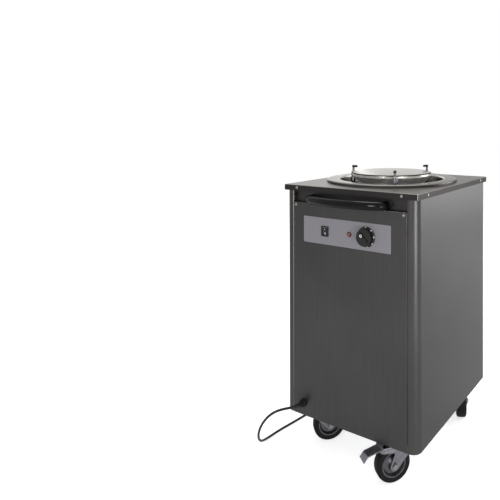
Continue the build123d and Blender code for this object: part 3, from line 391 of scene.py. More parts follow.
def put(
    name, bm, slot, body, stands_for=(), smooth_below=32.0, to_frame=TO_FRAME, finishes=None, flats=False
):
    """Turns a shape into a piece of the cart, on the body that carries it.

    Its faces take the finishes by their material index, and where none are given all take the slot's.
    """
    bm.transform(to_frame)
    mesh = bpy.data.meshes.new(name)
    bm.to_mesh(mesh)
    bm.free()
    for finish in finishes or (slot,):
        mesh.materials.append(finish_for(finish))
    mesh.shade_smooth()
    mesh.set_sharp_from_angle(angle=math.radians(smooth_below))
    piece = bpy.data.objects.new(name, mesh)
    bpy.context.scene.collection.objects.link(piece)
    if flats:
        true_flats(piece)
    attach(piece, body)
    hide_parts(*stands_for)
    return piece


def soften(bm, radius, choose, segments=3):
    """Rounds the edges that the test picks."""
    bmesh.ops.bevel(
        bm,
        geom=[e for e in bm.edges if choose(e)],
        offset=radius,
        affect="EDGES",
        segments=segments,
        profile=0.5,
        material=-1,
        clamp_overlap=True,
    )


def sharper_than(degrees):
    """Picks the edges where a shape turns by more than that."""
    return lambda e: len(e.link_faces) == 2 and e.calc_face_angle(0.0) > math.radians(degrees)


def middle(edge):
    """An edge's middle."""
    return (edge.verts[0].co + edge.verts[1].co) / 2


def along(**planes):
    """Picks the edges whose middle lies that far, in mm, from the cart's centre planes and the floor."""
    return lambda e: all(abs(abs(getattr(middle(e), k)) - far) < 0.1 for k, far in planes.items())


def round_edge(radius, z):
    """Picks the edges of a turned shape's circle of that radius and height."""
    return lambda e: abs(middle(e).z - z) < 0.1 and abs(middle(e).xy.length - radius) < 1.0


def chain(points, closed=False):
    """Straight edges from point to point."""
    bm = bmesh.new()
    verts = [bm.verts.new(p) for p in points]
    pairs = list(zip(verts, verts[1:]))
    if closed:
        pairs.append((verts[-1], verts[0]))
    for pair in pairs:
        bm.edges.new(pair)
    return bm


def new_verts(made):
    """The vertices among what an extrusion made."""
    return [v for v in made["geom"] if isinstance(v, bmesh.types.BMVert)]


def draw_wall(bm, edges, way):
    """Draws edges out along one direction, which leaves a wall behind them."""
    verts = new_verts(bmesh.ops.extrude_edge_only(bm, edges=edges))
    bmesh.ops.translate(bm, vec=way, verts=verts)
    return verts


def drawn_out(points, way):
    """A wall that follows the points and is drawn out along one direction."""
    bm = chain(points)
    draw_wall(bm, bm.edges[:], way)
    return bm


def face_out(bm, way):
    """Turns an open sheet so that its widest face in a direction looks that way."""
    bmesh.ops.recalc_face_normals(bm, faces=bm.faces[:])
    bm.normal_update()
    way = Vector(way)
    facing = max(bm.faces, key=lambda f: abs(f.normal.dot(way)) * f.calc_area())
    if facing.normal.dot(way) < 0:
        bmesh.ops.reverse_faces(bm, faces=bm.faces[:])


def thicken(bm, thickness):
    """Gives an open sheet its thickness, behind its outer face."""
    bmesh.ops.solidify(bm, geom=bm.faces[:] + bm.edges[:] + bm.verts[:], thickness=thickness)


def plate(points, thickness):
    """A flat plate on z = 0 with the outline given, drawn up to its thickness."""
    bm = bmesh.new()
    face = bm.faces.new([bm.verts.new((x, y, 0.0)) for x, y in points])
    raised = new_verts(bmesh.ops.extrude_face_region(bm, geom=[face]))
    bmesh.ops.translate(bm, vec=(0, 0, thickness), verts=raised)
    bmesh.ops.recalc_face_normals(bm, faces=bm.faces[:])
    return bm


def turned(profile, centre=(0.0, 0.0, 0.0), axis=(0, 0, 1), out=(1, 0, 0), steps=96, closed=True):
    """A shape spun round an axis from a profile of (radius, height) pairs."""
    centre, axis, out = Vector(centre), Vector(axis), Vector(out)
    bm = chain([centre + out * r + axis * h for r, h in profile], closed)
    line = bm.verts[:] + bm.edges[:]
    bmesh.ops.spin(bm, geom=line, cent=centre, axis=axis, angle=math.tau, steps=steps, use_merge=True)
    bmesh.ops.remove_doubles(bm, verts=bm.verts[:], dist=0.0005)
    bmesh.ops.recalc_face_normals(bm, faces=bm.faces[:])
    return bm


def facing_front(x, y, z):
    """Local x to the right, y up and z out of the cabinet's front."""
    return Matrix(((1, 0, 0, x), (0, 0, -1, y), (0, 1, 0, z), (0, 0, 0, 1)))


def caster_place(name):
    """Brings a wheel to its caster, from about the world's z with its trail along x."""
    x, y, trail = CASTERS[name]
    return Matrix.Translation((x, y, 0)) @ Matrix.Rotation(math.radians(trail), 4, "Z")


def reworked(node, bevel_mm):
    """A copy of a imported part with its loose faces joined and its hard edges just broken."""
    bm = bmesh.new()
    bm.from_mesh(frame["nodes"][node].data)
    bmesh.ops.remove_doubles(bm, verts=bm.verts[:], dist=1e-6)
    bmesh.ops.dissolve_limit(bm, angle_limit=math.radians(0.6), verts=bm.verts[:], edges=bm.edges[:])
    if bevel_mm:
        soften(bm, bevel_mm / 1000, sharper_than(30), segments=2)
    return bm


def put_reworked(node, slot, body, bevel_mm, name=None):
    """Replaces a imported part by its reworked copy."""
    bm = reworked(node, bevel_mm)
    return put(name or f"{node}_dressed", bm, slot, body, (node,), smooth_below=30.0, to_frame=AS_PACKED)


def keep(finish, *nodes):
    """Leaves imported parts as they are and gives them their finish."""
    for node in nodes:
        part = frame["nodes"][node]
        if not part.data.materials:
            part.data.materials.append(None)
        for place in part.material_slots:
            place.material = finish_for(finish)


class CartOperator:
    bl_options = {"REGISTER", "UNDO"}


# ---- camera, floor and light ----
class PLATECART_OT_stage(CartOperator, bpy.types.Operator):
    """Set up the camera at the photographed angle, a pale floor and soft studio light"""

    bl_idname = "platecart.stage"
    bl_label = "Camera, floor and light"

    # The camera in metres from the cabinet's plan centre, turned in radians.
    eye = (0.84103, -1.44398, 0.98689)
    heading, dip, roll = 0.5406, 0.0059, -0.0009
    # Its lens in millimetres, shifted as the photograph's vanishing points ask.
    lens, shift_x, shift_y = 36.73, -0.27, -0.248
    floor_half = 12.0
    # The floor's own light, as the camera sees it and as metal mirrors it.
    floor_seen, floor_mirrored = 0.62, 0.4
    # The world's strength on the cart, and where it is seen or mirrored.
    sky_on_cart, sky_seen = 0.38, 1.0
    # Each lamp's name, place and width in metres, and watts.
    lamps = (
        ("key_lamp", (1.9, 2.3, 1.12), 1.9, 60.0),
        ("corner_lamp", (2.5, -1.6, 0.4), 0.9, 33.0),
        ("front_lamp", (0.25, -2.9, 1.3), 0.36, 21.0),
        ("top_lamp", (-0.4, 0.9, 2.9), 1.6, 30.0),
        ("left_lamp", (-2.4, 2.0, 1.5), 1.8, 8.0),
    )
    lamps_aim = (0.0, 0.0, 0.45)

    def execute(self, context):
        self.add_camera(context)
        self.add_floor(context)
        self.add_world(context)
        self.add_lamps(context)
        return {"FINISHED"}

    def add_camera(self, context):
        data = bpy.data.cameras.new("view_camera")
        data.sensor_width = 36.0
        data.lens = self.lens
        data.shift_x = self.shift_x
        data.shift_y = self.shift_y
        camera = bpy.data.objects.new("view_camera", data)
        context.scene.collection.objects.link(camera)
        x, y, z = self.eye
        place = Matrix.Translation((x, y + centre_y, z))
        turn = Matrix.Rotation(self.heading, 4, "Z") @ Matrix.Rotation(math.pi / 2 - self.dip, 4, "X")
        camera.matrix_world = place @ turn @ Matrix.Rotation(self.roll, 4, "Z")
        context.scene.camera = camera

    def add_floor(self, context):
        bm = bmesh.new()
        bmesh.ops.create_grid(bm, x_segments=8, y_segments=8, size=self.floor_half)
        mesh = bpy.data.meshes.new("floor")
        bm.to_mesh(mesh)
        bm.free()
        floor = bpy.data.objects.new("floor", mesh)
        context.scene.collection.objects.link(floor)
        finish, tree, shader = start_finish("pale_floor")
        place = add_node(tree, "TexCoord").outputs["Object"]
        cloud = add_node(tree, "TexNoise", {"Vector": place, "Scale": 2.0, "Detail": 2.0})
        tones = {"Factor": cloud.outputs[0], "A": linear("#f7f7f6"), "B": linear("#fbfbfa")}
        tone = add_node(tree, "Mix", tones, data_type="RGBA")
        tree.links.new(tone.outputs["Result"], shader.inputs["Base Color"])
        rays = add_node(tree, "LightPath").outputs
        direct = add_node(tree, "Math", {0: rays["Is Camera Ray"], 1: self.floor_seen}, operation="MULTIPLY")
        both = {0: rays["Is Glossy Ray"], 1: self.floor_mirrored, 2: direct.outputs[0]}
        glow = add_node(tree, "Math", both, operation="MULTIPLY_ADD")
        tree.links.new(glow.outputs[0], shader.inputs["Emission Strength"])
        shader.inputs["Emission Color"].default_value = (1.0, 1.0, 1.0, 1.0)
        shader.inputs["Roughness"].default_value = 0.9
        shader.inputs["Specular IOR Level"].default_value = 0.1
        mesh.materials.append(finish)

    def add_world(self, context):
        world = bpy.data.worlds.new("studio")
        world.use_nodes = True
        tree = world.node_tree
        tree.nodes.clear()
        rays = add_node(tree, "LightPath").outputs
        seen = rays["Is Camera Ray"]
        for ray in ("Is Glossy Ray", "Is Transmission Ray"):
            seen = add_node(tree, "Math", {0: seen, 1: rays[ray]}, operation="MAXIMUM").outputs[0]
        spread = {"To Min": self.sky_on_cart, "To Max": self.sky_seen}
        strength = add_node(tree, "MapRange", {"Value": seen, **spread})
        white = (1.0, 1.0, 1.0, 1.0)
        sky = add_node(tree, "Background", {"Color": white, "Strength": strength.outputs[0]})
        add_node(tree, "OutputWorld", {"Surface": sky.outputs[0]})
        context.scene.world = world
        context.scene.view_settings.view_transform = "Standard"

    def add_lamps(self, context):
        for name, place, size, watts in self.lamps:
            data = bpy.data.lights.new(name, "AREA")
            data.shape = "SQUARE"
            data.size = size
            data.energy = watts
            lamp = bpy.data.objects.new(name, data)
            lamp.location = place
            beam = Vector(self.lamps_aim) - Vector(place)
            lamp.rotation_euler = beam.to_track_quat("-Z", "Y").to_euler()
            context.scene.collection.objects.link(lamp)


# ---- mains lead ----
class PLATECART_OT_lead(CartOperator, bpy.types.Operator):
    """Lay the mains lead from its gland round the cart to the tied coil and plug"""

    bl_idname = "platecart.lead"
    bl_label = "Mains lead"

    lie = 3.65  # the height in mm of the lead's middle where it lies on the floor
    route = (
        (-172.30, -295.70, 144.0),
        (-194.93, -318.33, 144.0),
        (-222.0, -339.0, 128.0),
        (-248.0, -346.0, 92.0),
        (-268.0, -337.0, 50.0),
        (-283.0, -311.0, 15.0),
        (-291.0, -272.0, lie),
        (-288.0, -224.0, lie),
        (-279.0, -170.0, lie),
        (-270.0, -110.0, lie),
        (-265.0, -40.0, lie),
        (-269.0, 30.0, lie),
        (-265.0, 100.0, lie),
        (-268.0, 165.0, lie),
        (-263.0, 222.0, lie),
        (-241.0, 272.0, lie),
        (-200.0, 303.0, lie),
        (-150.0, 306.0, lie),
        (-105.0, 290.0, lie),
        (-68.0, 281.0, lie),
    )

    def coil_points(self):
        """Eight control points to a half turn: two turns in on the floor, up, and two out on top."""
        pitch, outer, steps, tail = 8.2, 46.0, 8, 7.2
        coil_x, coil_y = -20.0, 327.0
        low, high = self.lie, self.lie + pitch
        inner = outer - 2 * pitch
        halves = [(outer - k * pitch / 2, low, low) for k in range(4)]
        halves.append((inner, low, high))
        halves += [(inner + k * pitch / 2, high, high) for k in range(1, 5)]
        points = []
        x, side = outer, 1
        for radius, start_z, end_z in halves:
            centre = x - side * radius
            reach = side * radius / math.cos(math.pi / (2 * steps))
            for k in range(steps):
                angle = (k + 0.5) * math.pi / steps
                height = start_z + (end_z - start_z) * (k + 0.5) / steps
                points.append((centre + reach * math.cos(angle), reach * math.sin(angle), height))
            x = centre - side * radius
            side = -side
        points.append((x, side * tail, high))
        return [(coil_x + y, coil_y - x, z) for x, y, z in points]

    def execute(self, context):
        settings = context.scene.cart_lead
        curve = bpy.data.curves.new("mains_lead", "CURVE")
        curve.dimensions = "3D"
        curve.bevel_depth = settings.lead_diameter / 2
        curve.bevel_resolution = 6
        curve.resolution_u = 6
        curve.use_fill_caps = True
        spline = curve.splines.new("NURBS")
        points = [TO_FRAME @ Vector(p) for p in list(self.route) + self.coil_points()]
        spline.points.add(len(points) - 1)
        for control, place in zip(spline.points, points):
            control.co = (*place, 1.0)
        spline.order_u = 3
        spline.use_endpoint_u = True
        curve.materials.append(finish_for("lead_black"))
        lead = bpy.data.objects.new("mains_lead", curve)
        context.scene.collection.objects.link(lead)
        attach(lead, "cabinet")
        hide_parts("cord", "cord_coil")
        tie = put_reworked("cord_tie", "strap_grey", "cabinet", 0.25, "lead_tie")
        plug = self.add_plug()
        self.add_relief()
        return {"FINISHED"}

    def add_plug(self):
        """The moulded plug, its three pins bare metal up to its face."""
        pin_length = 0.0185
        face_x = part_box("plug")[0].x + pin_length
        bm = reworked("plug", 0.4)
        for face in bm.faces:
            face.material_index = int(face.calc_center_median().x < face_x)
        return put(
            "lead_plug",
            bm,
            "plastic_black",
            "cabinet",
            ("plug",),
            smooth_below=30.0,
            to_frame=AS_PACKED,
            finishes=("lead_black", "screw_steel"),
        )

    def add_relief(self):
        """The ribbed, tapering strain relief, bent from the gland towards the corner."""
        bend_radius, bend_deg, rings = 42.0, 45.0, 30
        thick, thin, groove = 8.0, 4.6, 0.75
        root = Vector((-160.0, -266.0, 144.0))
        bm = bmesh.new()
        bmesh.ops.create_circle(bm, segments=32, radius=thick, cap_ends=True)
        bmesh.ops.rotate(bm, matrix=Matrix.Rotation(math.pi / 2, 3, "X"), verts=bm.verts[:])
        bmesh.ops.translate(bm, vec=root, verts=bm.verts[:])
        ring = bm.faces[:]
        centre = root - Vector((bend_radius, 0, 0))
        step = Matrix.Rotation(math.radians(-bend_deg / rings), 3, "Z")
        core = root
        radius = thick
        for k in range(rings):
            made = bmesh.ops.extrude_face_region(bm, geom=ring)
            ring = [f for f in made["geom"] if isinstance(f, bmesh.types.BMFace)]
            verts = new_verts(made)
            bmesh.ops.rotate(bm, cent=centre, matrix=step, verts=verts)
            core = centre + step @ (core - centre)
            grooved = 3 < k < rings - 3 and k % 4 in (1, 2)
            wanted = thick + (thin - thick) * (k + 1) / rings - (groove if grooved else 0.0)
            bmesh.ops.scale(bm, vec=(wanted / radius,) * 3, space=Matrix.Translation(-core), verts=verts)
            radius = wanted
        bmesh.ops.recalc_face_normals(bm, faces=bm.faces[:])
        put("lead_relief", bm, "lead_black", "cabinet", ("strain_relief",), smooth_below=60.0)
        put_reworked("cable_gland", "plastic_black", "cabinet", 0.4)


# ---- cabinet ----
class PLATECART_OT_cabinet(CartOperator, bpy.types.Operator):
    """Fold the cabinet's brushed side, front and rear sheets and the recessed band"""

    bl_idname = "platecart.cabinet"
    bl_label = "Cabinet sheets"

    half = SEAM_X - SEAM_GAP
    lip = 13.0

    def execute(self, context):
        settings = context.scene.cart_cabinet
        corner = settings.corner_radius * 1000
        fold = settings.fold_radius * 1000
        for sign, side in ((1, "right"), (-1, "left")):
            self.add_side(sign, side, corner, fold)
        front = self.lipped_sheet(-1, FRONT_TOP)
        at_top = along(y=HALF_DEPTH, z=FRONT_TOP)
        draw_wall(front, [e for e in front.edges if at_top(e)], (0, self.lip, 0))
        self.add_sheet("front_sheet", front, "stainless_panel", "front_panel", fold, -1)
        rear = self.lipped_sheet(1, PANEL_TOP)
        self.add_sheet("rear_sheet", rear, "stainless_panel", "rear_panel", fold, 1)
        self.add_band(fold)
        put_reworked("cabinet_screws", "screw_steel", "cabinet", 0.12)
        keep("galvanised", "base_pan", "well_supports")
        keep("zinc_plated", "caster_bolts")
        keep("screw_steel", "handle_bolts")
        return {"FINISHED"}

    def add_side(self, sign, side, corner, fold):
        """A side sheet, wrapped round both corners to the seams and turned in along them."""
        seam_fold, raw_edge, fold_highlight_reach = fold * 1.6, 0.25, SEAM_X + 2.3
        half = [(SEAM_X, RECESS_Y), (SEAM_X, HALF_DEPTH), (HALF_WIDTH, HALF_DEPTH)]
        plan = [(x, -y) for x, y in half] + half[::-1]
        bm = drawn_out([(sign * x, y, PANEL_FOOT) for x, y in plan], (0, 0, PANEL_TOP - PANEL_FOOT))
        soften(bm, corner, along(x=HALF_WIDTH, y=HALF_DEPTH), segments=10)
        soften(bm, seam_fold, along(x=SEAM_X, y=HALF_DEPTH), segments=4)
        face_out(bm, (sign, 0, 0))
        thicken(bm, SHEET)
        soften(bm, raw_edge, sharper_than(70), segments=2)
        # The seam folds take the worktop's paler steel: a painted highlight along each seam.
        for face in bm.faces:
            painted_highlight_fold = abs(face.calc_center_median().x) < fold_highlight_reach and abs(face.normal.y) < 0.97
            face.material_index = int(painted_highlight_fold)
        name, node = f"side_sheet_{side}", f"side_panel_{side}"
        finishes = ("stainless_panel", "stainless_top")
        put(name, bm, "stainless_panel", "cabinet", (node,), finishes=finishes, flats=True)

    def lipped_sheet(self, side_y, top):
        """A front or rear sheet between the seams, with a lip turned in along each."""
        plan = [(self.half, HALF_DEPTH - self.lip), (self.half, HALF_DEPTH)]
        plan += [(-x, y) for x, y in reversed(plan)]
        return drawn_out([(x, side_y * y, PANEL_FOOT) for x, y in plan], (0, 0, top - PANEL_FOOT))

    def add_band(self, fold):
        """The recessed band: a channel's back, with a ledge forward under the worktop."""
        ledge_z, ledge_y = 797.0, -255.5
        section = [(ledge_y, ledge_z), (-RECESS_Y, ledge_z), (-RECESS_Y, FRONT_TOP)]
        band = drawn_out([(-self.half, y, z) for y, z in section], (2 * self.half, 0, 0))
        # The band takes a darker steel: painted shade under the worktop's ledge.
        self.add_sheet("handle_channel", band, "band_steel", "handle_band", fold, -1)

    def add_sheet(self, name, bm, slot, node, fold, side_y):
        """Rounds a sheet's folds and gives it its thickness, behind the face that looks out."""
        soften(bm, fold, sharper_than(60))
        face_out(bm, (0, side_y, 0))
        thicken(bm, SHEET)
        put(name, bm, slot, "cabinet", (node,), flats=True)


class PLATECART_OT_worktop(CartOperator, bpy.types.Operator):
    """Press the worktop tray with its folded flange and the hole for the well"""

    bl_idname = "platecart.worktop"
    bl_label = "Worktop"

    def execute(self, context):
        hole_radius, flange_drop, fold_radius = 174.3, 17.0, 2.0
        corner_catch = math.radians(1.2)
        bm = bmesh.new()
        bmesh.ops.create_circle(bm, segments=96, radius=hole_radius)
        bmesh.ops.translate(bm, vec=(0, 0, TOP_Z), verts=bm.verts[:])
        corner = math.atan2(TOP_HALF_DEPTH, TOP_HALF_WIDTH)
        for vert in draw_wall(bm, bm.edges[:], (0, 0, 0)):
            angle = math.atan2(abs(vert.co.y), abs(vert.co.x))
            if abs(angle - corner) < corner_catch:
                angle = corner
            to_side = TOP_HALF_WIDTH / max(math.cos(angle), 1e-6)
            reach = min(to_side, TOP_HALF_DEPTH / max(math.sin(angle), 1e-6))
            vert.co.x = math.copysign(reach * math.cos(angle), vert.co.x)
            vert.co.y = math.copysign(reach * math.sin(angle), vert.co.y)
        rim = [e for e in bm.edges if e.is_boundary and e.verts[0].co.xy.length > hole_radius + 1]
        draw_wall(bm, rim, (0, 0, -flange_drop))
        soften(bm, fold_radius, sharper_than(60), segments=4)
        face_out(bm, (0, 0, 1))
        thicken(bm, SHEET)
        # Upright flange faces take the darker steel, painted shade and dark reflection; the upright corners
        # keep the paler steel as a painted glint.
        for face in bm.faces:
            upright = abs(face.normal.z) < 0.5 and face.calc_center_median().z < TOP_Z - 1
            painted_corner_glint = min(abs(face.normal.x), abs(face.normal.y)) > 0.2
            face.material_index = int(upright and not painted_corner_glint)
        finishes = ("stainless_top", "flange_steel_painted_shade")
        put("worktop_tray", bm, "stainless_top", "cabinet", ("worktop",), finishes=finishes, flats=True)
        return {"FINISHED"}


class PLATECART_OT_well(CartOperator, bpy.types.Operator):
    """Spin the trim ring and the well, and finish the heater below"""

    bl_idname = "platecart.well"
    bl_label = "Well and ring"

    def execute(self, context):
        self.add_ring()
        self.add_wall()
        # The well's floor and spring seat take the pale well steel: painted light.
        keep("well_steel_painted_light", "well_floor", "spring_seat")
        keep("heater_sheath", "heater_element")
        keep("galvanised", "heater_clips")
        return {"FINISHED"}

    def add_ring(self):
        """The trim ring, whose lip rolls into the well: painted shade on its outer slope and a painted
        highlight on its lip.
        """
        foot, shoulder, mouth = 212.0, 209.5, 168.5
        face_z, lip_z = 808.0, 776.0
        shoulder_fold, lip_fold, gauge, slope = 2.6, 5.0, 1.4, shoulder + 0.7
        profile = [(foot, TOP_Z), (shoulder, face_z), (mouth, face_z), (mouth, lip_z)]
        ring = turned(profile, steps=144, closed=False)
        soften(ring, shoulder_fold, round_edge(shoulder, face_z), segments=4)
        soften(ring, lip_fold, round_edge(mouth, face_z), segments=6)
        face_out(ring, (0, 0, 1))
        thicken(ring, gauge)
        # The outer slope takes the darker steel, a painted shade line; the lip takes the palest steel, a
        # painted highlight.
        for face in ring.faces:
            reach = face.calc_center_median().xy.length
            painted_lip_highlight = reach < mouth + lip_fold + 0.1
            face.material_index = 1 if reach > slope else 2 * int(painted_lip_highlight)
        finishes = ("stainless_well", "flange_steel_painted_shade", "stainless_table")
        put("trim_ring", ring, "stainless_well", "cabinet", ("well_ring",), finishes=finishes)

    def add_wall(self):
        """The drawn well, with the flange that hangs it from the worktop."""
        bore, foot, flange, gauge = 170.6, 150.0, 12.0, 1.2
        skin, edge = bore + gauge, bore + gauge + flange
        wall = [(bore, foot), (skin, foot), (skin, TOP_Z), (edge, TOP_Z)]
        wall += [(edge, TOP_Z + gauge), (bore, TOP_Z + gauge)]
        well = turned(wall, steps=144)
        # The wall takes the pale well steel: painted light and reflection in the gap.
        put("well_wall", well, "stainless_well", "cabinet", ("well_tube",), finishes=("well_steel_painted_light",))


class PLATECART_OT_lift(CartOperator, bpy.types.Operator):
    """Spin the plate table and dress its guides, caps and spring"""

    bl_idname = "platecart.lift"
    bl_label = "Plate lift"

    def execute(self, context):
        self.add_table(context.scene.cart_lift.rim_radius * 1000)
        put_reworked("carrier_spider", "guide_steel", "lift", 0.4)
        put_reworked("guide_rods", "guide_steel", "cabinet", 0.4)
        put_reworked("guide_caps", "plastic_black", "cabinet", 0.6)
        keep("bush_white", "guide_bushes")
        self.add_spring()
        return {"FINISHED"}

    def add_table(self, rim):
        """The plate table: a pale face, a rounded edge darkened as painted shade, and a tapering skirt
        brightened as painted light.
        """
        radius, skirt_foot, skirt_fold = 128.5, 104.0, 3.0
        face_z, skirt_z, foot_z = 828.0, 817.0, 791.0
        profile = [(0.0, face_z), (radius, face_z), (radius, skirt_z), (skirt_foot, foot_z)]
        table = turned(profile, steps=128, closed=False)
        soften(table, rim, round_edge(radius, face_z), segments=5)
        soften(table, skirt_fold, round_edge(radius, skirt_z), segments=4)
        face_out(table, (0, 0, 1))
        thicken(table, SHEET)
        # The rim takes the darker steel, a painted shade line; the skirt takes the pale well steel, painted
        # light and reflection.
        for face in table.faces:
            height = face.calc_center_median().z
            painted_rim_shade = face_z - rim + 0.3 < height < face_z - 0.1 and 0.05 < face.normal.z < 0.93
            below = height < skirt_z + SHEET or face.normal.z < -0.1
            face.material_index = 2 if painted_rim_shade else int(below)
        finishes = ("stainless_table", "well_steel_painted_light", "flange_steel_painted_shade")
        put("plate_table", table, "stainless_table", "lift", ("carrier_plate",), finishes=finishes)

    def add_spring(self):
        """The lift spring, which shortens with the table from its seat up, reworked and given a mesh of its
        own.
        """
        spring = put_reworked("lift_spring", "spring_steel", "cabinet", 0.0)
        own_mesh(spring)


class PLATECART_OT_handle(CartOperator, bpy.types.Operator):
    """Bend the bowed push handle and seat it on its collars"""

    bl_idname = "platecart.handle"
    bl_label = "Push handle"

    def execute(self, context):
        half_span, height, tube, bend_radius = 128.0, 762.0, 12.0, 24.0
        foot_y, knee_y, rise = -247.0, -271.0, 45.0
        bow = math.atan(rise / half_span)
        knee = math.pi / 2 - bow
        cut = bend_radius * math.tan(knee / 2)
        bend_y = knee_y + cut
        bow_radius = (math.hypot(rise, half_span) - cut) / math.tan(bow)
        bm = bmesh.new()
        bmesh.ops.create_circle(bm, segments=40, radius=tube)
        bmesh.ops.rotate(bm, matrix=Matrix.Rotation(math.pi / 2, 3, "X"), verts=bm.verts[:])
        bmesh.ops.translate(bm, vec=(-half_span, foot_y, height), verts=bm.verts[:])
        draw_wall(bm, bm.edges[:], (0, bend_y - foot_y, 0))
        loop = [e for e in bm.edges if all(abs(v.co.y - bend_y) < 0.01 for v in e.verts)]
        start = Vector((bend_radius - half_span, bend_y, height))
        loop = self.bend(bm, loop, start, knee, 12)
        turn = Matrix.Rotation(knee, 3, "Z")
        tip = start + turn @ Vector((-bend_radius, 0, 0))
        heading = turn @ Vector((0, -1, 0))
        left = Vector((-heading.y, heading.x, 0))
        loop = self.bend(bm, loop, tip + left * bow_radius, 2 * bow, 28)
        loop = self.bend(bm, loop, Vector((half_span - bend_radius, bend_y, height)), knee, 12)
        draw_wall(bm, loop, (0, foot_y - bend_y, 0))
        bmesh.ops.remove_doubles(bm, verts=bm.verts[:], dist=0.01)
        bmesh.ops.holes_fill(bm, edges=[e for e in bm.edges if e.is_boundary], sides=0)
        bmesh.ops.recalc_face_normals(bm, faces=bm.faces[:])
        put("bowed_grip", bm, "grip_black", "cabinet", ("push_handle",), smooth_below=50.0)
        self.add_collar("left", (-half_span, -RECESS_Y, height), ())
        self.add_collar("right", (half_span, -RECESS_Y, height), ("handle_feet",))
        return {"FINISHED"}

    def bend(self, bm, loop, centre, angle, steps):
        """Sweeps the tube's open end round a centre and gives its new end."""
        verts = list({v for e in loop for v in e.verts})
        made = bmesh.ops.spin(
            bm, geom=verts + loop, cent=centre, axis=(0, 0, 1), angle=angle, steps=steps, use_merge=False
        )
        return [e for e in made["geom_last"] if isinstance(e, bmesh.types.BMEdge)]

    def add_collar(self, side, place, stands_for):
        """The moulded collar on which a leg of the handle stands, bored for its bolt."""
        bore, rim, height = 4.1, 13.0, 4.0
        profile = [(bore, 0), (rim, 0), (rim, 3.0), (12.7, 3.7), (12.1, height), (bore, height)]
        collar = turned(profile, place, (0, -1, 0), steps=48)
        put(f"handle_collar_{side}", collar, "plastic_black", "cabinet", stands_for)


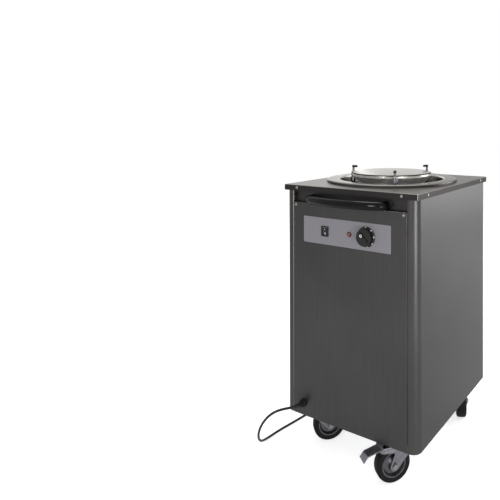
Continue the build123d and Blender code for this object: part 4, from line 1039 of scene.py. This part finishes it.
# ---- controls ----
class PLATECART_OT_controls(CartOperator, bpy.types.Operator):
    """Make the fascia, rocker switch, pilot lamp and thermostat knob"""

    bl_idname = "platecart.controls"
    bl_label = "Controls"

    face_plate = 1.5
    face_y = -HALF_DEPTH - face_plate
    middle_z = 671.0
    fascia_x, switch_x, lamp_x, knob_x = -4.0, -75.0, 11.0, 69.0

    def execute(self, context):
        self.add_fascia()
        self.add_switch()
        self.add_lamp()
        self.add_knob()
        keep("galvanised", "thermostat")
        return {"FINISHED"}

    def add_fascia(self):
        """The control plate, with rounded corners and a softened outer rim."""
        half_w, half_h, corner, edge = 151.0, 39.0, 2.5, 1.2
        outline = [(-half_w, -half_h), (half_w, -half_h), (half_w, half_h), (-half_w, half_h)]
        bm = plate(outline, self.face_plate)
        soften(bm, corner, lambda e: abs(e.verts[0].co.z - e.verts[1].co.z) > 1, segments=5)
        outer = self.face_plate - 0.1
        soften(bm, edge, lambda e: min(v.co.z for v in e.verts) > outer and e.calc_face_angle(0) > 1, 4)
        bm.transform(facing_front(self.fascia_x, -HALF_DEPTH, self.middle_z))
        put("fascia_plate", bm, "fascia_grey", "cabinet", ("control_plate",), flats=True)

    def add_switch(self):
        """The rocker and its two marks, a dash and a ring, each printed on its half's slope."""
        ink, slope, rest_tilt, pivot_in = 0.15, 0.165, math.radians(9.0), 3.0
        dash_at, ring_at = (0, 0.4, 4.35), (0, -6.0, 4.4)
        put_reworked("switch_housing", "plastic_black", "cabinet", 0.4)
        put_reworked("rocker", "plastic_black", "rocker", 0.8)
        rocker = facing_front(self.switch_x, self.face_y + pivot_in, self.middle_z)
        rocker = rocker @ Matrix.Rotation(rest_tilt, 4, "X")
        dash = plate([(-0.7, 3.2), (0.7, 3.2), (0.7, 8.4), (-0.7, 8.4)], ink)
        dash.transform(rocker @ Matrix.Translation(dash_at) @ Matrix.Rotation(slope, 4, "X"))
        put("rocker_mark_on", dash, "print", "rocker")
        ring = turned([(1.9, 0), (3.0, 0), (3.0, ink), (1.9, ink)], steps=40)
        ring.transform(rocker @ Matrix.Translation(ring_at) @ Matrix.Rotation(-slope, 4, "X"))
        put("rocker_mark_off", ring, "print", "rocker")

    def add_lamp(self):
        """The pilot lamp: a black bezel with a low domed lens."""
        place = facing_front(self.lamp_x, self.face_y, self.middle_z)
        bore, barrel, rim = 5.0, 6.0, 7.5
        bezel = [(bore, -6.0), (barrel, -6.0), (barrel, 0.0), (rim, 0.0), (rim, 1.1)]
        bezel += [(7.1, 1.8), (6.4, 2.0), (5.5, 1.6), (bore, 0.8)]
        dome = [(0, -5.0), (4.7, -5.0), (4.8, 2.1), (5.5, 2.2), (5.4, 2.9), (4.6, 3.5), (2.8, 3.76), (0, 3.8)]
        parts = (
            ("lamp_bezel", bezel, "plastic_black", "pilot_bezel"),
            ("lamp_lens", dome, "lens_orange", "pilot_lens"),
        )
        for name, profile, slot, node in parts:
            bm = turned(profile, steps=64)
            bm.transform(place)
            put(name, bm, slot, "cabinet", (node,))

    def add_knob(self):
        """The knob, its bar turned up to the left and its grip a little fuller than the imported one."""
        grip_low, grip_high, grip_inner, fuller = 5.05, 15.2, 18.6, 1.25
        bar_deg, mark_deg, mark_reach, face_z, gap = -45.0, 135.0, 7.6, 20.45, 1.0
        out = facing_front(self.knob_x, self.face_y - gap, self.middle_z)
        bm = reworked("knob", 0.4)
        bm.transform(out.inverted() @ TO_FRAME.inverted())
        for vert in bm.verts:
            if grip_low < vert.co.z < grip_high and vert.co.xy.length > grip_inner:
                vert.co.xy *= fuller
        bm.transform(out @ Matrix.Rotation(math.radians(bar_deg), 4, "Z"))
        put("thermostat_knob", bm, "plastic_black", "knob", ("knob",), smooth_below=30.0)
        dot = turned([(2.1, 0), (4.2, 0), (4.1, 0.25), (3.8, 0.32), (2.3, 0.32), (2.1, 0.2)], steps=48)
        spot = Matrix.Rotation(math.radians(mark_deg), 4, "Z") @ Matrix.Translation((mark_reach, 0, face_z))
        dot.transform(out @ spot)
        put("knob_dot", dot, "print", "knob")
        self.add_numerals(out)

    def add_numerals(self, out):
        """Plain temperatures round the knob's skirt, printed on its sloping edge."""
        first_deg, step_deg, count = 89.6, 42.0, 6
        skirt_reach, skirt_z, skirt_slope = 27.2, 3.9, math.radians(45)
        marks = bmesh.new()
        for k in range(count):
            text = bpy.data.curves.new("numeral", "FONT")
            text.body = str(30 + 10 * k)
            text.size = 4.8
            text.offset = 0.12
            text.extrude = 0.06
            text.align_x = "CENTER"
            text.align_y = "CENTER"
            carrier = bpy.data.objects.new("numeral", text)
            flat = bpy.data.meshes.new_from_object(carrier)
            spot = Matrix.Rotation(math.radians(first_deg - step_deg * k), 4, "Z")
            spot = spot @ Matrix.Translation((skirt_reach, 0, skirt_z))
            spot = spot @ Matrix.Rotation(skirt_slope, 4, "Y") @ Matrix.Rotation(-math.pi / 2, 4, "Z")
            flat.transform(out @ spot)
            marks.from_mesh(flat)
            bpy.data.meshes.remove(flat)
            bpy.data.objects.remove(carrier)
            bpy.data.curves.remove(text)
        put("knob_numerals", marks, "print", "knob")


# ---- casters ----
class PLATECART_OT_casters(CartOperator, bpy.types.Operator):
    """Dress the four swivel casters: races, forks, wheels, tyres and the front brakes"""

    bl_idname = "platecart.casters"
    bl_label = "Casters"

    def execute(self, context):
        for name in CASTERS:
            put_reworked(f"caster_plate_{name}", "zinc_plated", "cabinet", 0.3)
            put_reworked(f"fork_{name}", "zinc_plated", f"swivel_{name}", 0.35)
            put_reworked(f"axle_{name}", "screw_steel", f"swivel_{name}", 0.3)
            self.add_wheel(name)
            if name.startswith("front"):
                put_reworked(f"brake_pedal_{name}", "zinc_plated", f"pedal_{name}", 0.4)
        return {"FINISHED"}

    def add_wheel(self, name):
        """A solid tyre round a pressed hub, each turned from half of its outline."""
        tyre = [(35.95, 16), (43.6, 16), (45.4, 15.6), (47.6, 14.0), (49.2, 11.8), (49.9, 9.0), (50, 7.0)]
        hub = [(4.1, 18.4), (7.5, 18.4), (8.5, 17.4), (9.2, 12.0), (11.6, 9.4), (13.4, 6.6), (16.5, 4.8)]
        hub += [(24.0, 4.0), (27.0, 4.6), (28.8, 7.0), (30.4, 12.6), (31.6, 14.4), (34.4, 14.9), (35.9, 14.4)]
        parts = (
            ("tyre", tyre, "tyre_black", 25.0, None),
            ("hub", hub, "zinc_plated", 40.0, ("hub_steel",)),
        )
        for part, half, slot, smooth_below, finishes in parts:
            outline = [(r, -h) for r, h in half] + [(r, h) for r, h in reversed(half)]
            bm = turned(outline, (WHEEL_TRAIL, 0.0, WHEEL_Z), (0, 1, 0))
            bm.transform(caster_place(name))
            node = f"{part}_{name}"
            body = f"wheel_{name}"
            put(f"{node}_dressed", bm, slot, body, (node,), smooth_below, finishes=finishes)


class PLATECART_PT_pieces(bpy.types.Panel):
    """The cart's pieces, in the order that they are made"""

    bl_idname = "PLATECART_PT_pieces"
    bl_label = "Plate cart"
    bl_space_type = "VIEW_3D"
    bl_region_type = "UI"
    bl_category = "Plate cart"

    def draw(self, context):
        for group in SETTINGS:
            settings = getattr(context.scene, group)
            for name in settings.__annotations__:
                self.layout.prop(settings, name)
        for operator in OPERATORS:
            self.layout.operator(operator.bl_idname)


SETTINGS = {
    "cart_cabinet": CabinetSettings,
    "cart_lift": LiftSettings,
    "cart_controls": ControlSettings,
    "cart_lead": LeadSettings,
}
OPERATORS = (
    PLATECART_OT_stage,
    PLATECART_OT_lead,
    PLATECART_OT_cabinet,
    PLATECART_OT_worktop,
    PLATECART_OT_well,
    PLATECART_OT_lift,
    PLATECART_OT_handle,
    PLATECART_OT_controls,
    PLATECART_OT_casters,
)


def register():
    for name, group in SETTINGS.items():
        bpy.utils.register_class(group)
        setattr(bpy.types.Scene, name, bpy.props.PointerProperty(type=group))
    for operator in OPERATORS:
        bpy.utils.register_class(operator)
    bpy.utils.register_class(PLATECART_PT_pieces)


def unregister():
    bpy.utils.unregister_class(PLATECART_PT_pieces)
    for operator in reversed(OPERATORS):
        bpy.utils.unregister_class(operator)
    for name, group in SETTINGS.items():
        delattr(bpy.types.Scene, name)
        bpy.utils.unregister_class(group)


def main():
    register()
    bpy.ops.platecart.stage()
    bpy.ops.platecart.lead()
    bpy.ops.platecart.cabinet()
    bpy.ops.platecart.worktop()
    bpy.ops.platecart.well()
    bpy.ops.platecart.lift()
    bpy.ops.platecart.handle()
    bpy.ops.platecart.controls()
    bpy.ops.platecart.casters()


if __name__ == "__main__":
    main()
